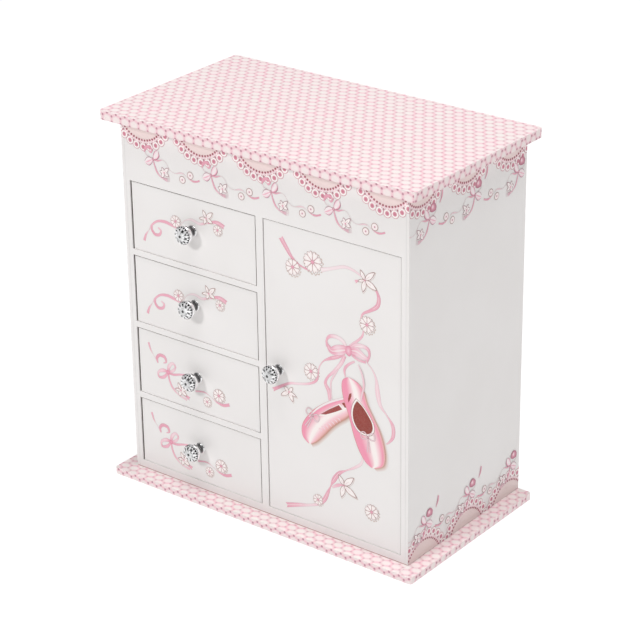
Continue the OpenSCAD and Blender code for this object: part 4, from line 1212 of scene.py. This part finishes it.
def dancer():
    skin = MAT["dancer_plastic"]
    satin = plastic("dancer_bodice", (0.93, 0.55, 0.68), 0.3)
    hair = plastic("dancer_hair", (0.42, 0.26, 0.17), 0.45)
    shoe = plastic("dancer_shoe", (0.95, 0.68, 0.77), 0.3)
    brown = plastic("dancer_eyes", (0.22, 0.14, 0.12), 0.3)
    lips = plastic("dancer_lips", (0.80, 0.30, 0.36), 0.3)
    socket = lathe([(1.9, 6.0), (2.25, 6.2), (2.3, 7.2), (1.9, 7.6), (0.4, 7.7)], (0, 0, 0), (0, 0, 1), 32)
    cap = new_mesh("dancer_socket", [folded(v) for v in socket[0]], socket[1], MAT["brass"], "dancer",
                   smooth=False)
    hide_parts("ballerina_figure")
    for s, tag in ((-1, "left"), (1, "right")):
        body_part(f"dancer_leg_{tag}", [(s * 0.55, 0, 9.6, 0.62, 0.66), (s * 0.75, 0.1, 12.4, 0.95, 1.05),
                                        (s * 0.95, 0.15, 14.6, 1.2, 1.3),
                                        (s * 1.05, -0.1, 17.2, 1.05, 1.1), (s * 1.25, -0.1, 20.0, 1.45, 1.5),
                                        (s * 1.35, 0, 23.6, 1.6, 1.75)], skin)
        body_part(f"dancer_shoe_{tag}", [(s * 0.5, 0, 7.4, 0.42, 0.5), (s * 0.5, -0.1, 8.2, 0.62, 0.72),
                                         (s * 0.55, -0.1, 9.4, 0.74, 0.85),
                                         (s * 0.6, 0, 10.2, 0.78, 0.8), (s * 0.62, 0, 10.5, 0.6, 0.65)], shoe)
        body_part(f"dancer_arm_{tag}", [(s * 2.2, 0.0, 30.6, 0.75, 0.8), (s * 3.4, -0.1, 31.6, 0.85, 0.85),
                                        (s * 5.0, -0.3, 34.4, 0.72, 0.75),
                                        (s * 6.1, -0.5, 37.6, 0.62, 0.65), (s * 5.4, -0.8, 41.2, 0.6, 0.62),
                                        (s * 3.6, -1.0, 44.2, 0.48, 0.5), (s * 2.0, -1.2, 46.0, 0.52, 0.36),
                                        (s * 0.8, -1.3, 46.9, 0.34, 0.26)], skin)
        x, y, z = s * 1.02, -2.42, 37.1
        verts, faces = tube([(x, y - 0.16, z - 0.26, 0.12, 0.1), (x, y - 0.24, z - 0.1, 0.34, 0.14),
                             (x, y - 0.24, z + 0.1, 0.34, 0.14), (x, y - 0.16, z + 0.26, 0.12, 0.1)], 12)
        new_mesh(f"dancer_eye_{tag}", verts, faces, brown, "dancer", smooth=True)
    body_part("dancer_hips", [(0, 0, 21.0, 2.2, 1.8), (0, 0, 22.4, 2.95, 2.3), (0, 0, 24.2, 2.7, 2.1),
                              (0, 0, 26.4, 1.85, 1.5),
                              (0, -0.1, 28.4, 2.3, 1.85), (0, -0.2, 30.0, 2.65, 2.05), (0, 0, 31.0, 2.3, 1.5), (0, 0,
                                      31.3, 1.2, 1.0)],
              satin, sides=32)
    body_part("dancer_neck", [(0, 0, 30.8, 2.0, 1.1), (0, 0, 31.6, 1.5, 0.95), (0, 0, 32.3, 0.9, 0.85),
                              (0, 0, 34.6, 0.85, 0.85)], skin)
    body_part("dancer_head", [(0, -0.35, 33.8, 0.5, 0.6), (0, -0.35, 34.3, 1.35, 1.5), (0, -0.25, 35.4, 2.05, 2.25),
                              (0, -0.1, 36.8, 2.4, 2.55),
                              (0, 0, 38.2, 2.3, 2.5), (0, 0.1, 39.3, 1.6, 1.9), (0, 0.1, 39.8, 0.5,
                                      0.6)], skin, sides=32)
    body_part("dancer_nose", [(0, -2.45, 35.9, 0.14, 0.12), (0, -2.66, 36.1, 0.3, 0.24), (0, -2.5, 36.7, 0.2, 0.2),
                              (0, -2.4, 37.3, 0.1, 0.1)], skin, sides=12)
    body_part("dancer_lips", [(0, -2.12, 34.85, 0.3, 0.1), (0, -2.22, 35.0, 0.55, 0.14),
                              (0, -2.26, 35.2, 0.3, 0.12)], lips, sides=12)
    hair_rings = [(0, 0.9, 34.9, 1.7, 1.2), (0, 0.75, 36.2, 2.45, 2.1), (0, 0.55, 37.6, 2.62, 2.45),
                  (0, 0.3, 38.8, 2.35, 2.5),
                  (0, 0.2, 39.8, 1.5, 1.8), (0, 0.2, 40.2, 0.4, 0.5)]
    body_part("dancer_hair", hair_rings, hair, sides=32)
    body_part("dancer_bun", [(0, 1.0, 39.2, 0.6, 0.6), (0, 1.1, 39.8, 1.35, 1.35), (0, 1.1, 40.7, 1.4, 1.4),
                             (0, 1.1, 41.4, 0.7, 0.7)], hair)
    for layer in range(3):
        tutu_layer(layer)


def tutu_layer(layer):
    """One ruffled round of net round the hips."""
    sides, rings = 216, 12
    inner, outer = 2.75, 13.3 - layer * 1.1
    drop = 1.6 + layer * 0.9
    verts = []
    for i in range(rings + 1):
        t = i / rings
        r = inner + (outer - inner) * t
        for k in range(sides):
            a = math.tau * k / sides
            wave = 0.75 * t * math.sin(18 * a + layer * 1.7) + 0.3 * t * math.sin(41 * a + layer)
            verts.append(folded((r * math.cos(a), r * math.sin(a), 24.3 - layer * 0.7 - drop * t ** 1.4 + wave)))
    skirt = new_mesh(f"tutu_layer_{layer + 1}", verts, grid_faces(rings + 1, sides, wrap=True), MAT["tulle"],
                     "dancer", smooth=True)
    modify(skirt, "SOLIDIFY", thickness=0.08 * MM, offset=0)
    if layer == 0:
        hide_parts("ballerina_tutu")


def dancer_spring():
    """The coil spring under the lid, bent through a quarter turn as it lies at rest."""
    turns, per, sides = 7, 28, 8
    verts = []
    count = turns * per
    for i in range(count + 1):
        t = i / count
        bend = t * math.pi / 2
        middle = Vector((FOLD[0], FOLD[1] - 6 + 6 * math.cos(bend), FOLD[2] - 6 + 6 * math.sin(bend)))
        along = Vector((0, -math.sin(bend), math.cos(bend)))
        out = Vector((0, math.cos(bend), math.sin(bend)))
        side = Vector((1, 0, 0))
        a = math.tau * turns * t
        wire = middle + (out * math.cos(a) + side * math.sin(a)) * 1.75
        radial = (out * math.cos(a) + side * math.sin(a))
        for k in range(sides):
            w = math.tau * k / sides
            verts.append(wire + radial * (0.24 * math.cos(w)) + along * (0.24 * math.sin(w)))
    faces = grid_faces(count + 1, sides, wrap=True)
    faces += caps(count + 1, sides)
    coil = new_mesh("dancer_spring", verts, faces, MAT["steel"], None, smooth=True)
    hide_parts("ballerina_spring")
    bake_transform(coil)


# ---- movement and small trim ----

def cylinder_pins():
    """The tune: rows of fine pins on the brass cylinder, one row for each comb tooth."""
    low, high = mm_box("movement_cylinder")
    x, y = (low[0] + high[0]) / 2, (low[1] + high[1]) / 2
    z0, length, teeth = low[2] + 2.4, 16.0, 18
    verts, faces = [], []
    for tooth in range(teeth):
        z = z0 + (tooth + 0.5) * length / teeth
        for _ in range(9):
            a = rng.uniform(0.15, math.tau - 0.15)
            out, side = Vector((math.cos(a), math.sin(a), 0)), Vector((-math.sin(a), math.cos(a), 0))
            foot = Vector((x, y, z)) + out * 5.9
            first = len(verts)
            for r, half in ((0.0, 0.13), (0.38, 0.09)):
                for k in range(6):
                    w = math.tau * k / 6
                    verts.append(foot + out * r + side * (half * math.cos(w)) + Vector((0, 0, half * math.sin(w))))
            faces += [tuple(first + k for k in f) for f in grid_faces(2, 6, wrap=True)]
            faces.append(tuple(first + 6 + k for k in range(6)))
            faces.append(tuple(first + 5 - k for k in range(6)))
    new_mesh("cylinder_pins", verts, faces, MAT["steel"], "spindle_set")


def screws(name, places, axis, body, radius=1.5):
    """Countersunk screw heads, with a shallow dip in the middle."""
    verts, faces = [], []
    for centre in places:
        v, f = lathe([(radius, -0.05), (radius, 0.12), (radius * 0.8, 0.3), (radius * 0.3, 0.36),
                      (radius * 0.28, 0.1),
                      (0.1, 0.1)], centre, axis, 24)
        faces += [tuple(len(verts) + k for k in q) for q in f]
        verts += v
    new_mesh(name, verts, faces, MAT["steel"], body)


def trim():
    leaf_low = mm_box("hinge_leaves_body")[0]
    places = [(s * (62 + d), leaf_low[1] + 2.4, RIM - 0.02) for s in (-1, 1) for d in (-6.5, 6.5)]
    screws("hinge_screws_body", places, (0, 0, 1), "box", 1.1)
    comb = mm_box("movement_comb")
    screws("comb_screws", [(comb[1][0] - 3.4, comb[0][1], z) for z in (comb[0][2] + 3, comb[1][2] - 3)], (0, -1, 0),
           "box", 1.6)
    # Key plate on the back panel.
    key = mm_box("winding_key")
    x, z = (key[0][0] + key[1][0]) / 2, (key[0][2] + key[1][2]) / 2
    verts, faces = lathe([(2.9, -1.0), (2.9, 0.0), (6.5, 0.0), (6.5, 0.25), (6.1, 0.4), (3.4, 0.45), (2.95, 0.3),
                          (2.9, -0.9)],
                         (x, BACK, z), (0, 1, 0), 40)
    new_mesh("key_plate", verts, faces[:-2], MAT["brass"], "box")
    # Ribbon frame round the mirror, and the lining of the lid.
    mirror = mm_box("lid_mirror")
    frame_strip(mirror)
    low, high = (INNER_L + 0.8, TRAY_FRONT + 1.0), (INNER_R - 0.8, BACK_IN - 1.0)
    under = LID[0][2]
    pad("lid_lining", (low[0], low[1], under - 0.22), (high[0], high[1], under - 0.02), MAT["paper_lining"], "lid")


def frame_strip(mirror):
    """A mitred band of ribbon round the mirror's edge."""
    (x0, y0, z0), (x1, y1, _) = mirror
    verts, faces = [], []
    corners = [(x0, y0), (x1, y0), (x1, y1), (x0, y1)]
    out = [(-1, -1), (1, -1), (1, 1), (-1, 1)]
    profile = [(-1.6, 0.0), (-1.6, 0.45), (0.4, 0.75), (3.2, 0.45), (3.6, -1.6), (0.3, -1.6), (0.3, -0.02)]
    for side in range(4):
        a, b = corners[side], corners[(side + 1) % 4]
        oa, ob = out[side], out[(side + 1) % 4]
        steps = int(math.dist(a, b) / 1.5)
        first = len(verts)
        for i in range(steps + 1):
            t = i / steps
            pleat = 0.12 * math.sin(math.pi * i)
            for reach, drop in profile:
                x = (a[0] + oa[0] * reach) * (1 - t) + (b[0] + ob[0] * reach) * t
                y = (a[1] + oa[1] * reach) * (1 - t) + (b[1] + ob[1] * reach) * t
                verts.append((x, y, z0 - drop - pleat))
        count = len(profile)
        faces += [tuple(first + k for k in f) for f in grid_faces(steps + 1, count, wrap=True)]
    new_mesh("mirror_frame", verts, faces, MAT["satin"], "lid")


# ---- CAD nodes that show ----

def dress_nodes():
    """Gives each carried-over CAD node its material and soft edges."""
    slots = {s["node"]: s["material_slot"] for s in frame["record"]["subparts"]}
    for name, obj in frame["nodes"].items():
        mesh = obj.data
        mesh.materials.clear()
        mesh.materials.append(FELT if name == "felt_feet" else MAT[slots[name]])
    for name in ("lid_panel", "base_board"):
        bevel(frame["nodes"][name], 0.6, 3)
    boards = ["floor_board", "side_panel_left", "side_panel_right", "back_panel", "front_top_panel", "centre_divider",
              "drawer_shelf_1", "drawer_shelf_2", "drawer_shelf_3", "movement_shelf", "movement_fascia", "peg_rail",
              "tray_divider", "tray_cross_divider"]
    for name in boards + [f"drawer_{n}_tray" for n in DRAWERS]:
        bevel(frame["nodes"][name], 0.25)
    for name in ["door_panel"] + [f"drawer_{n}_front" for n in DRAWERS]:
        bevel(frame["nodes"][name], 0.4, 3)
    for name in ("winding_key", "movement_bedplate", "door_magnet", "spring_barrel", "hinge_leaves_body",
                 "hinge_leaves_lid"):
        bevel(frame["nodes"][name], 0.12)


def make_floor():
    size = 6.0
    mesh = bpy.data.meshes.new("studio_floor")
    mesh.from_pydata([(-size, -size, 0), (size, -size, 0), (size, size, 0), (-size, size, 0)], [], [(0, 1, 2, 3)])
    m = Nodes("studio_floor", 0.9, Specular_IOR_Level=0.1, Emission_Strength=0.92)
    m.put("Base Color", m.mix(m.ramp(m.noise(6, 2), 0.3, 0.7), rgb(0.46, 0.46, 0.46), rgb(0.45, 0.45, 0.45)))
    m.put("Emission Color", (1.0, 1.0, 1.0, 1))
    mesh.materials.append(m.mat)
    floor = bpy.data.objects.new("studio_floor", mesh)
    bpy.context.scene.collection.objects.link(floor)


dress_nodes()
make_floor()
all_prints()
all_knobs()
ring_rolls()
pouch()
tray_linings()
dancer()
dancer_spring()
cylinder_pins()
trim()
